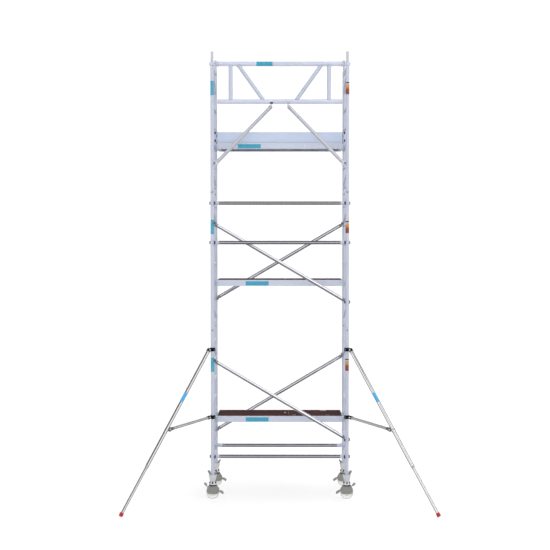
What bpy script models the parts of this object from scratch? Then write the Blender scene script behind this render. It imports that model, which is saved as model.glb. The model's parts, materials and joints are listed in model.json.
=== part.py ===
"""Mobile tower scaffold: three storeys of ladder frames on four adjustable castors, with
platforms, braces, guard rails and two stabilisers. Metres, +Z up, -Y is the front."""

import math

import bmesh
import bpy
from mathutils import Matrix, Vector

# The tower's grid
TOWER_LENGTH = 1.915  # between post centres, along X
TOWER_WIDTH = 0.900  # between post centres, along Y
STOREYS = ("low", "mid", "top")
RUNG_PITCH = 0.280
RUNGS_PER_FRAME = 7
FRAME_HEIGHT = RUNG_PITCH * RUNGS_PER_FRAME
FRAME_BASE_Z = 0.326
FIRST_RUNG = 0.230  # above the frame's foot
HALF_LENGTH = TOWER_LENGTH / 2
HALF_WIDTH = TOWER_WIDTH / 2

# Tubes
POST_RADIUS = 0.0254
SPIGOT_RADIUS = 0.0205
SPIGOT_LENGTH = 0.159
POST_BORE_RADIUS = 0.0218
POST_BORE_DEPTH = 1.900
RUNG_RADIUS = 0.0160
STIFFENER_RADIUS = 0.0125
BRACE_RADIUS = 0.0250
PANEL_TUBE_RADIUS = 0.0335
ARM_RADIUS = 0.0260
ROUND_SIDES = 12
BRACE_SIDES = 10
RUNG_SIDES = 8

# Claws that hold the braces on the posts
CLAW_GAP = 0.0008
CLAW_RADIUS = 0.0440
CLAW_HALF_HEIGHT = 0.0200
COLLAR_HALF_HEIGHT = 0.0270
COLLAR_REACH = 0.0950
DIAGONAL_OFFSET = 0.0530  # diagonals pass inside the guard rails

# Heights of the brace axes
HORIZONTAL_Z = 0.614
GUARD_RAILS_Z = {"knee": 3.667, "hand": 4.226}
DIAGONALS_Z = {"low": (1.990, 0.857), "mid": (3.947, 2.823)}

# Guardrail panel at the top, front side
PANEL_TOP_Z = 6.192
PANEL_MID_Z = 5.661
PANEL_MID_HALF_LENGTH = 0.875
PANEL_UPRIGHT_X = 0.695
PANEL_STAY_TOP_X = 0.598
PANEL_STAY_LOW_X = 0.219
ARM_TOP = (0.135, 5.6070)
ARM_LOW = (0.895, 4.800)

# Platforms
PLATFORM_RUNGS = {"low": 2, "mid": 9, "top": 16}
DECK_ABOVE_RUNG = 0.055
DECK_HALF_LENGTH = 0.895
DECK_HALF_WIDTH = 0.300
DECK_THICKNESS = 0.011
BEAM_DEPTH = 0.088
BEAM_WIDTH = 0.036
BEAM_LIP = 0.0035
END_BEAM_X = (0.858, 0.905)
HOOK_Y = 0.235
HOOK_WIDTH = 0.048
HOOK_ARC = (-25, 205)  # degrees of the hook's inside
HOOK_STEPS = 7
HATCH_X = (0.130, 0.770)
HATCH_HALF_WIDTH = 0.235
CROSS_BEAM_WIDTH = 0.040
FIT_GAP = 0.0005

# Toe boards
TOE_HEIGHT = 0.153
TOE_THICKNESS = 0.025
TOE_OUTER_Y = 0.287
TOE_HALF_LENGTH = 0.900
TOE_END_X = 0.897

# Castors
WHEEL_CENTRE_Z = 0.0925
WHEEL_SIDES = 20
WHEEL_BORE_RADIUS = 0.0105
AXLE_RADIUS = 0.0080
CHEEK_INNER_Y = 0.0305
CHEEK_OUTER_Y = 0.0355
CROWN_Z = (0.1875, 0.1930)
RACE_Z = (0.1935, 0.2090)
DOME_TOP_Z = 0.2512
SPINDLE_RADIUS = 0.0190
SPINDLE_TOP_Z = 0.800
NUT_BOTTOM_Z = 0.2520
NUT_RIM_RADIUS = 0.0580
BRAKE_PIVOT_Z = 0.140

# Stabilisers
STABILISER_ANGLE = math.radians(43.75)  # out of the tower's long axis
STABILISER_REACH = 1.617  # from post axis to foot centre
STABILISER_PIVOT_R = 0.066
UPPER_CLAMP_Z = 2.145
LOWER_CLAMP_Z = 1.179
FOOT_CENTRE_Z = 0.030
FOOT_RADIUS = 0.042
OUTER_TUBE_LENGTH = 1.900
OUTER_TUBE_BORE = 0.0215
INNER_TUBE_RADIUS = 0.0195
INNER_TUBE_START = 1.250
STRUT_RADIUS = 0.0210
STRUT_JOIN = 1.320  # along the outer tube, from its pivot
CLAMP_RADIUS = 0.0370
CLAMP_HALF_HEIGHT = 0.025
LUG_HALF_WIDTH = 0.009
LUG_RADIUS = 0.022

# The origin lies midway between the stabiliser feet and the rear castors
TOWER_Y = (
    STABILISER_REACH * math.sin(STABILISER_ANGLE) + FOOT_RADIUS - NUT_RIM_RADIUS
) / 2


def clear_scene():
    for thing in list(bpy.data.objects):
        bpy.data.objects.remove(thing)


def material(name, colour, roughness, metallic):
    made = bpy.data.materials.new(name)
    made.use_nodes = True
    shader = made.node_tree.nodes["Principled BSDF"]
    shader.inputs["Base Color"].default_value = (*colour, 1.0)
    shader.inputs["Roughness"].default_value = roughness
    shader.inputs["Metallic"].default_value = metallic
    return made


# ---------------------------------------------------------------- simple solids


def turned(profile, sides, centre=(0.0, 0.0), bored=False):
    """Solid of revolution about a vertical axis through (radius, height) points. A bored one
    has a closed profile, and any other one is capped at its ends."""
    solid = bmesh.new()
    rings = []
    for radius, height in profile:
        ring = []
        for step in range(sides):
            angle = 2 * math.pi * step / sides
            x = centre[0] + radius * math.cos(angle)
            y = centre[1] + radius * math.sin(angle)
            ring.append(solid.verts.new((x, y, height)))
        rings.append(ring)
    pairs = list(zip(rings, rings[1:]))
    if bored:
        pairs.append((rings[-1], rings[0]))
    for low, high in pairs:
        for step in range(sides):
            after = (step + 1) % sides
            solid.faces.new((low[step], low[after], high[after], high[step]))
    if not bored:
        solid.faces.new(rings[0])
        solid.faces.new(rings[-1])
    return solid


def moved(solid, matrix):
    bmesh.ops.transform(solid, matrix=matrix, verts=solid.verts)
    return solid


def rod(start, end, radius, sides):
    """Round bar between two points."""
    start = Vector(start)
    along = Vector(end) - start
    bar = turned([(radius, 0.0), (radius, along.length)], sides)
    turn = along.to_track_quat("Z", "Y").to_matrix().to_4x4()
    return moved(bar, Matrix.Translation(start) @ turn)


def block(low, high):
    solid = bmesh.new()
    bmesh.ops.create_cube(solid, size=1.0)
    size = [b - a for a, b in zip(low, high)]
    middle = [(a + b) / 2 for a, b in zip(low, high)]
    return moved(solid, Matrix.Translation(middle) @ Matrix.Diagonal((*size, 1.0)))


def prism(outline, low, high, along="Z"):
    """An outline extruded between two heights along Z, or between two depths along X or Y."""
    place = {
        "X": lambda u, v, depth: (depth, u, v),
        "Y": lambda u, v, depth: (u, depth, v),
        "Z": lambda u, v, depth: (u, v, depth),
    }[along]
    solid = bmesh.new()
    near = [solid.verts.new(place(u, v, low)) for u, v in outline]
    far = [solid.verts.new(place(u, v, high)) for u, v in outline]
    solid.faces.new(near)
    solid.faces.new(far)
    for index in range(len(outline)):
        after = (index + 1) % len(outline)
        solid.faces.new((near[index], near[after], far[after], far[index]))
    return solid


def arc(centre, radius, first, last, steps):
    """Points along an arc, with its first and last angles in degrees."""
    points = []
    for step in range(steps + 1):
        angle = math.radians(first + (last - first) * step / steps)
        points.append((centre[0] + radius * math.cos(angle), centre[1] + radius * math.sin(angle)))
    return points


# ---------------------------------------------------------------- joining solids


def to_mesh(solid, name):
    bmesh.ops.recalc_face_normals(solid, faces=solid.faces)
    mesh = bpy.data.meshes.new(name)
    solid.to_mesh(mesh)
    solid.free()
    return mesh


def together(*solids):
    """Solids that don't touch, as one."""
    group = bmesh.new()
    for solid in solids:
        mesh = to_mesh(solid, "part")
        group.from_mesh(mesh)
        bpy.data.meshes.remove(mesh)
    return group


def helper(solid):
    thing = bpy.data.objects.new("helper", to_mesh(solid, "helper"))
    bpy.context.scene.collection.objects.link(thing)
    return thing


def combined(name, first, added=(), cut=()):
    """Mesh of the first solid with others added to it and others cut from it, in order."""
    body = helper(first)
    helpers = [body]
    for operation, solids in (("UNION", added), ("DIFFERENCE", cut)):
        for solid in solids:
            other = helper(solid)
            helpers.append(other)
            step = body.modifiers.new(operation, "BOOLEAN")
            step.operation = operation
            step.object = other
    bpy.context.view_layer.update()
    graph = bpy.context.evaluated_depsgraph_get()
    mesh = bpy.data.meshes.new_from_object(body.evaluated_get(graph))
    mesh.name = name
    for thing in helpers:
        bpy.data.objects.remove(thing)
    return mesh


def finished(mesh, finish, smooth=True):
    mesh.materials.clear()
    mesh.materials.append(finish)
    if smooth:
        mesh.shade_smooth()
        mesh.set_sharp_from_angle(angle=math.radians(35))
    return mesh


def placed(name, mesh, location=(0.0, 0.0, 0.0), turn=0.0):
    """Object of a mesh at a place in the tower's own frame, turned about Z."""
    thing = bpy.data.objects.new(name, mesh)
    thing.location = (location[0], location[1] + TOWER_Y, location[2])
    thing.rotation_euler.z = turn
    bpy.context.scene.collection.objects.link(thing)
    return thing


# ---------------------------------------------------------------- ladder frames


def post(y):
    top = FRAME_HEIGHT + SPIGOT_LENGTH
    shoulder = FRAME_HEIGHT - FIT_GAP
    profile = [
        (POST_RADIUS, 0.0),
        (POST_RADIUS, shoulder),
        (SPIGOT_RADIUS, shoulder),
        (SPIGOT_RADIUS, top - 0.012),
        (SPIGOT_RADIUS - 0.004, top),
    ]
    return turned(profile, ROUND_SIDES, (0.0, y))


def frame_mesh(finish):
    """Ladder frame with two posts, seven rungs and a slanted stiffener in its end bays."""
    inside = HALF_WIDTH - 0.010
    bars = []
    for step in range(RUNGS_PER_FRAME):
        z = FIRST_RUNG + step * RUNG_PITCH
        bars.append(rod((0, -inside, z), (0, inside, z), RUNG_RADIUS, RUNG_SIDES))
    margin = RUNG_RADIUS + STIFFENER_RADIUS + 0.011
    for bay in (0, RUNGS_PER_FRAME - 2):
        low = FIRST_RUNG + bay * RUNG_PITCH + margin
        high = FIRST_RUNG + (bay + 1) * RUNG_PITCH - margin
        bars.append(rod((0, -inside, high), (0, inside, low), STIFFENER_RADIUS, RUNG_SIDES))
    posts = together(post(-HALF_WIDTH), post(HALF_WIDTH))
    bore = [(POST_BORE_RADIUS, -0.01), (POST_BORE_RADIUS, POST_BORE_DEPTH)]
    bores = together(
        turned(bore, ROUND_SIDES, (0.0, -HALF_WIDTH)), turned(bore, ROUND_SIDES, (0.0, HALF_WIDTH))
    )
    return finished(combined("ladder_frame", posts, [together(*bars)], [bores]), finish)


def add_frames(finish):
    mesh = frame_mesh(finish)
    for side, x in (("left", -HALF_LENGTH), ("right", HALF_LENGTH)):
        for level, storey in enumerate(STOREYS):
            z = FRAME_BASE_Z + level * FRAME_HEIGHT
            placed(f"frame_{side}_{storey}", mesh, (x, 0.0, z))


# ---------------------------------------------------------------- braces with claws


def post_cutter(x, z, height=0.12):
    profile = [(POST_RADIUS + CLAW_GAP, z - height / 2), (POST_RADIUS + CLAW_GAP, z + height / 2)]
    return turned(profile, ROUND_SIDES, (x, 0.0))


def claw(side, z, full_hook=True):
    """Jaw round the front of a post at one end of the tower; side is -1 left, +1 right."""
    last = 198 if full_hook else 110
    outline = arc((0.0, 0.0), CLAW_RADIUS, 12, -last, 7 if full_hook else 4)
    if not full_hook:
        outline.append((0.0, 0.0))
    flipped = [(side * HALF_LENGTH - side * x, y) for x, y in outline]
    return prism(flipped, z - CLAW_HALF_HEIGHT, z + CLAW_HALF_HEIGHT)


def collar(side, z):
    """Casting between a claw and the end of its tube, in the plane of the posts."""
    ends = sorted((side * (HALF_LENGTH - 0.026), side * (HALF_LENGTH - COLLAR_REACH)))
    half = BRACE_RADIUS + 0.0015
    return block(
        (ends[0], -half, z - COLLAR_HALF_HEIGHT), (ends[1], half, z + COLLAR_HALF_HEIGHT)
    )


def cranked_collar(side, z):
    """Casting that steps from a claw back to a diagonal, which lies behind the posts."""
    half = BRACE_RADIUS + 0.0015
    outline = [
        (0.026, -half),
        (0.062, -half),
        (0.100, DIAGONAL_OFFSET - half),
        (0.100, DIAGONAL_OFFSET + half),
        (0.060, DIAGONAL_OFFSET + half),
        (0.026, half),
    ]
    flipped = [(side * (HALF_LENGTH - x), y) for x, y in outline]
    return prism(flipped, z - COLLAR_HALF_HEIGHT, z + COLLAR_HALF_HEIGHT)


def horizontal_mesh(finish):
    reach = HALF_LENGTH - COLLAR_REACH + 0.015
    tube = rod((-reach, 0, 0), (reach, 0, 0), BRACE_RADIUS, BRACE_SIDES)
    added = []
    for side in (-1, 1):
        added.append(collar(side, 0.0))
        added.append(claw(side, 0.0))
    cut = [together(post_cutter(-HALF_LENGTH, 0.0), post_cutter(HALF_LENGTH, 0.0))]
    return finished(combined("horizontal_brace", tube, added, cut), finish)


def diagonal_mesh(finish, name, left_z, right_z):
    """Diagonal brace from high on the left to low on the right."""
    reach = HALF_LENGTH - 0.078
    ends = [(-HALF_LENGTH, left_z), (HALF_LENGTH, right_z)]
    slope = (right_z - left_z) / TOWER_LENGTH
    middle = (left_z + right_z) / 2
    start = (-reach, DIAGONAL_OFFSET, middle - slope * reach)
    end = (reach, DIAGONAL_OFFSET, middle + slope * reach)
    tube = rod(start, end, BRACE_RADIUS, BRACE_SIDES)
    added = []
    for side, (x, z) in zip((-1, 1), ends):
        added.append(cranked_collar(side, z))
        added.append(claw(side, z, full_hook=side > 0))
    cut = [together(*[post_cutter(x, z) for x, z in ends])]
    return finished(combined(name, tube, added, cut), finish)


def add_braces(finish):
    mesh = horizontal_mesh(finish)
    placed("horizontal_front", mesh, (0.0, -HALF_WIDTH, HORIZONTAL_Z))
    placed("horizontal_rear", mesh, (0.0, HALF_WIDTH, HORIZONTAL_Z), math.pi)
    for level, z in GUARD_RAILS_Z.items():
        placed(f"guard_rail_{level}", mesh, (0.0, -HALF_WIDTH, z))
    for storey, (high, low) in DIAGONALS_Z.items():
        mesh = diagonal_mesh(finish, f"diagonal_{storey}", high, low)
        placed(f"diagonal_{storey}_front", mesh, (0.0, -HALF_WIDTH, 0.0))
        placed(f"diagonal_{storey}_rear", mesh, (0.0, HALF_WIDTH, 0.0), math.pi)


# ---------------------------------------------------------------- guardrail panel and its arms


def arm_bracket(side):
    """Channel under the mid rail, open below, that the end of an arm sits in."""
    x = sorted((side * 0.100, side * 0.178))
    top = PANEL_MID_Z - PANEL_TUBE_RADIUS + 0.012
    outside = block((x[0], -0.0335, top - 0.062), (x[1], 0.0335, top))
    inside = block((x[0] - 0.01, -0.0285, top - 0.07), (x[1] + 0.01, 0.0285, top - 0.0065))
    return outside, inside


def panel_mesh(finish):
    reach = HALF_LENGTH - COLLAR_REACH + 0.015
    radius = PANEL_TUBE_RADIUS
    top_rail = rod((-reach, 0, PANEL_TOP_Z), (reach, 0, PANEL_TOP_Z), radius, BRACE_SIDES)
    mid = PANEL_MID_HALF_LENGTH
    mid_rail = rod((-mid, 0, PANEL_MID_Z), (mid, 0, PANEL_MID_Z), radius, BRACE_SIDES)
    uprights = []
    for side in (-1, 1):
        x = side * PANEL_UPRIGHT_X
        uprights.append(rod((x, 0, PANEL_MID_Z), (x, 0, PANEL_TOP_Z), radius - 0.003, BRACE_SIDES))
        high = (side * PANEL_STAY_TOP_X, 0, PANEL_TOP_Z)
        low = (side * PANEL_STAY_LOW_X, 0, PANEL_MID_Z)
        uprights.append(rod(high, low, radius - 0.005, BRACE_SIDES))
    brackets = [arm_bracket(side) for side in (-1, 1)]
    insides = [inside for _, inside in brackets]
    outsides = combined("brackets", together(*[outside for outside, _ in brackets]), (), insides)
    channel = bmesh.new()
    channel.from_mesh(outsides)
    bpy.data.meshes.remove(outsides)
    added = [together(*uprights), channel]
    for side in (-1, 1):
        added.append(collar(side, PANEL_TOP_Z))
        added.append(claw(side, PANEL_TOP_Z))
    cut = [together(*[post_cutter(side * HALF_LENGTH, PANEL_TOP_Z) for side in (-1, 1)])]
    rails = together(top_rail, mid_rail)
    return finished(combined("guardrail_panel", rails, added, cut), finish)


def arm_mesh(finish, side):
    """Slanted arm from the panel's mid rail down to a claw on a front post."""
    start = (side * ARM_TOP[0], 0.0, ARM_TOP[1])
    end = (side * ARM_LOW[0], 0.0, ARM_LOW[1])
    tube = rod(start, end, ARM_RADIUS, BRACE_SIDES)
    low = ARM_LOW[1] - 0.010
    added = [collar(side, low), claw(side, low, full_hook=False)]
    cut = [post_cutter(side * HALF_LENGTH, low)]
    return finished(combined("guardrail_arm", tube, added, cut), finish)


def add_guardrail(finish):
    placed("guardrail_panel", panel_mesh(finish), (0.0, -HALF_WIDTH, 0.0))
    for side, word in ((-1, "left"), (1, "right")):
        placed(f"guardrail_arm_{word}", arm_mesh(finish, side), (0.0, -HALF_WIDTH, 0.0))


# ---------------------------------------------------------------- platforms and toe boards


def side_beam(side):
    outer = DECK_HALF_WIDTH + FIT_GAP + BEAM_LIP
    inner = outer - BEAM_WIDTH
    shelf = -DECK_THICKNESS - FIT_GAP
    outline = [
        (inner, -BEAM_DEPTH),
        (outer, -BEAM_DEPTH),
        (outer, 0.0),
        (outer - BEAM_LIP, 0.0),
        (outer - BEAM_LIP, shelf),
        (inner, shelf),
    ]
    flipped = [(side * y, z) for y, z in outline]
    return prism(flipped, -DECK_HALF_LENGTH, DECK_HALF_LENGTH, "X")


def hook(side_x, side_y):
    """Hook over a rung, cut from thick plate."""
    centre = (HALF_LENGTH, -DECK_ABOVE_RUNG)
    first, last = HOOK_ARC
    half_step = math.radians(last - first) / HOOK_STEPS / 2
    outline = [(END_BEAM_X[0] + 0.02, -0.026)]
    outline += arc(centre, RUNG_RADIUS + 0.013, 90, first, 4)
    outline += arc(centre, (RUNG_RADIUS + FIT_GAP) / math.cos(half_step), first, last, HOOK_STEPS)
    outline.append((END_BEAM_X[0] + 0.02, -0.080))
    flipped = [(side_x * x, z) for x, z in outline]
    low = side_y * HOOK_Y - HOOK_WIDTH / 2
    return prism(flipped, low, low + HOOK_WIDTH, "Y")


def platform_frame_mesh(finish):
    shelf = -DECK_THICKNESS - FIT_GAP
    inner = DECK_HALF_WIDTH + FIT_GAP + BEAM_LIP - BEAM_WIDTH + 0.004
    beams = together(side_beam(-1), side_beam(1))
    crossing = []
    for side in (-1, 1):
        ends = sorted(side * x for x in END_BEAM_X)
        crossing.append(block((ends[0], -inner, -0.084), (ends[1], inner, shelf - 0.0002)))
    for x in HATCH_X:
        half = CROSS_BEAM_WIDTH / 2
        crossing.append(block((x - half, -inner, -0.055), (x + half, inner, shelf - 0.0002)))
    hooks = [hook(x, y) for x in (-1, 1) for y in (-1, 1)]
    added = [together(*crossing), together(*hooks)]
    return finished(combined("platform_frame", beams, added), finish, smooth=False)


def deck_mesh(finish):
    sheet = block(
        (-DECK_HALF_LENGTH, -DECK_HALF_WIDTH, -DECK_THICKNESS),
        (DECK_HALF_LENGTH, DECK_HALF_WIDTH, 0.0),
    )
    hole = block((HATCH_X[0], -HATCH_HALF_WIDTH, -0.1), (HATCH_X[1], HATCH_HALF_WIDTH, 0.1))
    return finished(combined("deck", sheet, (), [hole]), finish, smooth=False)


def hatch_mesh(finish):
    """Hatch lid with its origin on the hinge line along its rear edge."""
    length = HATCH_X[1] - HATCH_X[0] - 0.005
    width = 2 * HATCH_HALF_WIDTH - 0.005
    lid = block((0.0, -width, -DECK_THICKNESS), (length, 0.0, 0.0))
    return finished(to_mesh(lid, "hatch"), finish, smooth=False)


def add_platforms(frame_finish, deck_finish):
    frame = platform_frame_mesh(frame_finish)
    deck = deck_mesh(deck_finish)
    hatch = hatch_mesh(deck_finish)
    for storey in STOREYS:
        z = deck_height(storey)
        placed(f"platform_frame_{storey}", frame, (0.0, 0.0, z))
        placed(f"deck_{storey}", deck, (0.0, 0.0, z))
        corner = (HATCH_X[0] + 0.0025, HATCH_HALF_WIDTH - 0.0025, z)
        placed(f"hatch_{storey}", hatch, corner)


def deck_height(storey):
    rung = FRAME_BASE_Z + FIRST_RUNG + PLATFORM_RUNGS[storey] * RUNG_PITCH
    return rung + DECK_ABOVE_RUNG


def add_toe_boards(finish):
    base = deck_height("top") + FIT_GAP
    inner = TOE_OUTER_Y - TOE_THICKNESS
    long_board = block((-TOE_HALF_LENGTH, 0.0, 0.0), (TOE_HALF_LENGTH, TOE_THICKNESS, TOE_HEIGHT))
    end_half = inner - FIT_GAP
    end_board = block((0.0, -end_half, 0.0), (TOE_THICKNESS, end_half, TOE_HEIGHT))
    long_mesh = finished(to_mesh(long_board, "toe_board_long"), finish, smooth=False)
    end_mesh = finished(to_mesh(end_board, "toe_board_end"), finish, smooth=False)
    placed("toe_board_front", long_mesh, (0.0, -TOE_OUTER_Y, base))
    placed("toe_board_rear", long_mesh, (0.0, inner, base))
    placed("toe_board_left", end_mesh, (-TOE_END_X, 0.0, base))
    placed("toe_board_right", end_mesh, (TOE_END_X - TOE_THICKNESS, 0.0, base))


# ---------------------------------------------------------------- castors


def spindle_mesh(finish):
    profile = [
        (0.0560, RACE_Z[0]),
        (0.0560, RACE_Z[1]),
        (0.0500, RACE_Z[1] + 0.003),
        (0.0500, 0.2360),
        (0.0360, DOME_TOP_Z),
        (SPINDLE_RADIUS, DOME_TOP_Z),
        (SPINDLE_RADIUS, SPINDLE_TOP_Z),
    ]
    return finished(to_mesh(turned(profile, ROUND_SIDES), "spindle"), finish)


def nut_mesh(finish):
    """Winged adjusting nut whose cup takes the foot of the post."""
    seat = FRAME_BASE_Z - FIT_GAP
    rim = FRAME_BASE_Z + 0.024
    bore = SPINDLE_RADIUS + 0.0008
    profile = [
        (bore, NUT_BOTTOM_Z),
        (0.0360, NUT_BOTTOM_Z),
        (0.0400, NUT_BOTTOM_Z + 0.012),
        (0.0560, rim - 0.014),
        (NUT_RIM_RADIUS, rim),
        (0.0480, rim),
        (0.0300, seat),
        (bore, seat),
    ]
    cup = turned(profile, ROUND_SIDES, bored=True)
    wings = []
    for side in (-1, 1):
        outline = [
            (0.0420, rim - 0.010),
            (0.0560, rim - 0.012),
            (0.0740, rim + 0.046),
            (0.0660, rim + 0.054),
            (0.0440, rim + 0.012),
        ]
        wings.append(prism([(side * x, z) for x, z in outline], -0.007, 0.007, "Y"))
    return finished(combined("adjusting_nut", cup, [together(*wings)]), finish)


def fork_mesh(finish):
    """Swivel fork: a crown plate, two cheeks and the axle; +X is the side the cheeks reach to."""
    outline = [
        (-0.058, CROWN_Z[1]),
        (0.058, CROWN_Z[1]),
        (0.090, 0.140),
        (0.086, 0.104),
        (0.062, 0.080),
        (-0.058, 0.080),
        (-0.084, 0.104),
        (-0.088, 0.140),
    ]
    cheeks = [
        prism(outline, -CHEEK_OUTER_Y, -CHEEK_INNER_Y, "Y"),
        prism(outline, CHEEK_INNER_Y, CHEEK_OUTER_Y, "Y"),
    ]
    inner = CHEEK_INNER_Y + 0.002
    crown = block((-0.056, -inner, CROWN_Z[0]), (0.054, inner, CROWN_Z[1] - 0.0002))
    reach = CHEEK_OUTER_Y + 0.005
    axle = rod((0, -reach, WHEEL_CENTRE_Z), (0, reach, WHEEL_CENTRE_Z), AXLE_RADIUS, RUNG_SIDES)
    return finished(combined("castor_fork", together(*cheeks), [crown, axle]), finish)


def wheel_mesh(finish):
    """Wheel about its own axle, along Y. It stands on one flat of its rim."""
    rim = WHEEL_CENTRE_Z / math.cos(math.pi / WHEEL_SIDES)
    half = [(WHEEL_BORE_RADIUS, 0.021), (0.067, 0.017), (0.074, 0.021), (rim, 0.014)]
    profile = half + [(radius, -y) for radius, y in reversed(half)]
    solid = turned(profile, WHEEL_SIDES, bored=True)
    upright = Matrix.Rotation(math.pi / 2, 4, "X")
    flat_down = Matrix.Rotation(math.pi / WHEEL_SIDES, 4, "Z")
    return finished(to_mesh(moved(solid, upright @ flat_down), "castor_wheel"), finish)


def brake_mesh(finish):
    """Brake rocker about its pivot: a plate beside the wheel with a pedal at either end."""
    outline = [
        (-0.128, 0.092),
        (-0.118, 0.078),
        (-0.066, 0.022),
        (-0.012, -0.016),
        (0.018, -0.018),
        (0.078, -0.026),
        (0.150, -0.062),
        (0.156, -0.048),
        (0.088, -0.004),
        (0.014, 0.016),
        (-0.016, 0.016),
        (-0.060, 0.040),
    ]
    plate = prism(outline, -0.0285, -0.0245, "Y")
    upper = [(-0.128, 0.090), (-0.120, 0.074), (-0.090, 0.052), (-0.078, 0.064), (-0.110, 0.096)]
    lower = [(0.102, -0.032), (0.147, -0.063), (0.155, -0.049), (0.150, -0.036), (0.108, -0.012)]
    pedals = together(prism(upper, -0.034, 0.030, "Y"), prism(lower, -0.034, 0.030, "Y"))
    return finished(combined("brake_rocker", plate, [pedals]), finish)


def add_castors(finishes):
    meshes = {
        "spindle": spindle_mesh(finishes["steel"]),
        "adjusting_nut": nut_mesh(finishes["cast"]),
        "castor_fork": fork_mesh(finishes["fork"]),
        "castor_wheel": wheel_mesh(finishes["wheel"]),
        "brake_rocker": brake_mesh(finishes["fork"]),
    }
    heights = {"castor_wheel": WHEEL_CENTRE_Z, "brake_rocker": BRAKE_PIVOT_Z}
    for depth, y in (("front", -HALF_WIDTH), ("rear", HALF_WIDTH)):
        for side, x, turn in (("left", -HALF_LENGTH, 0.0), ("right", HALF_LENGTH, math.pi)):
            for name, mesh in meshes.items():
                place = (x, y, heights.get(name, 0.0))
                placed(f"{name}_{depth}_{side}", mesh, place, turn)


# ---------------------------------------------------------------- stabilisers
# Each is built along its own +X, away from the post, and turned into place about the post.


def stabiliser_line():
    """Pivot, foot and unit direction of the telescopic tube, in the stabiliser's own plane."""
    pivot = Vector((STABILISER_PIVOT_R, 0.0, UPPER_CLAMP_Z))
    foot = Vector((STABILISER_REACH, 0.0, FOOT_CENTRE_Z))
    return pivot, foot, (foot - pivot).normalized()


def clamp_solids(z):
    """Band round the post and the lug that its tube is bolted to."""
    inner = (POST_RADIUS + FIT_GAP) / math.cos(math.pi / ROUND_SIDES)
    low, high = z - CLAMP_HALF_HEIGHT, z + CLAMP_HALF_HEIGHT
    profile = [(inner, low), (CLAMP_RADIUS, low), (CLAMP_RADIUS, high), (inner, high)]
    band = turned(profile, ROUND_SIDES, bored=True)
    tip = arc((STABILISER_PIVOT_R, z), LUG_RADIUS, 90, -90, 4)
    outline = [(0.031, z - LUG_RADIUS), (0.031, z + LUG_RADIUS)] + tip
    return band, prism(outline, -LUG_HALF_WIDTH, LUG_HALF_WIDTH, "Y")


def slot(centre, direction, reach, back=0.05):
    """Cutter for the slot in the end of a tube that a clamp's lug sits in."""
    half = LUG_HALF_WIDTH + 0.0006
    cutter = block((-back, -half, -0.05), (reach, half, 0.05))
    turn = direction.to_track_quat("X", "Z").to_matrix().to_4x4()
    return moved(cutter, Matrix.Translation(centre) @ turn)


def outer_tube_mesh(finish):
    pivot, _, along = stabiliser_line()
    start = pivot - along * 0.012
    end = pivot + along * OUTER_TUBE_LENGTH
    tube = rod(start, end, BRACE_RADIUS, ROUND_SIDES)
    bore = rod(pivot + along * 0.12, end + along * 0.01, OUTER_TUBE_BORE, ROUND_SIDES)
    cut = [slot(pivot, along, LUG_RADIUS + 0.004), bore]
    return finished(combined("stabiliser_tube", tube, (), cut), finish)


def inner_tube_mesh(finish):
    pivot, foot, along = stabiliser_line()
    tube = rod(pivot + along * INNER_TUBE_START, foot, INNER_TUBE_RADIUS, ROUND_SIDES)
    return finished(to_mesh(tube, "stabiliser_inner_tube"), finish)


def foot_mesh(finish):
    _, foot, along = stabiliser_line()
    profile = [
        (FOOT_RADIUS, 0.0),
        (FOOT_RADIUS, 0.014),
        (0.0360, 0.034),
        (0.0290, 0.060),
    ]
    dome = turned(profile, 16, (STABILISER_REACH, 0.0))
    socket = rod(foot + along * 0.0010, foot - along * 0.1, INNER_TUBE_RADIUS + 0.0008, ROUND_SIDES)
    return finished(combined("stabiliser_foot", dome, (), [socket]), finish)


def strut_mesh(finish):
    """Lower clamp, strut and the saddle that grips the outer tube."""
    pivot, _, along = stabiliser_line()
    join = pivot + along * STRUT_JOIN
    low = Vector((STABILISER_PIVOT_R, 0.0, LOWER_CLAMP_Z))
    band, lug = clamp_solids(LOWER_CLAMP_Z)
    tube = rod(low, join, STRUT_RADIUS, BRACE_SIDES)
    saddle = rod(join - along * 0.024, join + along * 0.024, 0.0345, BRACE_SIDES)
    passage = rod(join - along * 0.07, join + along * 0.07, BRACE_RADIUS + 0.0006, ROUND_SIDES)
    mesh = combined("stabiliser_strut", band, [lug, tube, saddle], [passage])
    return finished(mesh, finish)


def clamp_mesh(finish):
    band, lug = clamp_solids(UPPER_CLAMP_Z)
    return finished(combined("stabiliser_clamp", band, [lug]), finish)


def add_stabilisers(finishes):
    meshes = {
        "stabiliser_clamp": clamp_mesh(finishes["black"]),
        "stabiliser_tube": outer_tube_mesh(finishes["tube"]),
        "stabiliser_inner_tube": inner_tube_mesh(finishes["tube"]),
        "stabiliser_foot": foot_mesh(finishes["rubber"]),
        "stabiliser_strut": strut_mesh(finishes["tube"]),
    }
    sides = {
        "left": (-HALF_LENGTH, math.pi + STABILISER_ANGLE),
        "right": (HALF_LENGTH, -STABILISER_ANGLE),
    }
    for side, (x, turn) in sides.items():
        for name, mesh in meshes.items():
            placed(f"{name}_{side}", mesh, (x, -HALF_WIDTH, 0.0), turn)


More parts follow.
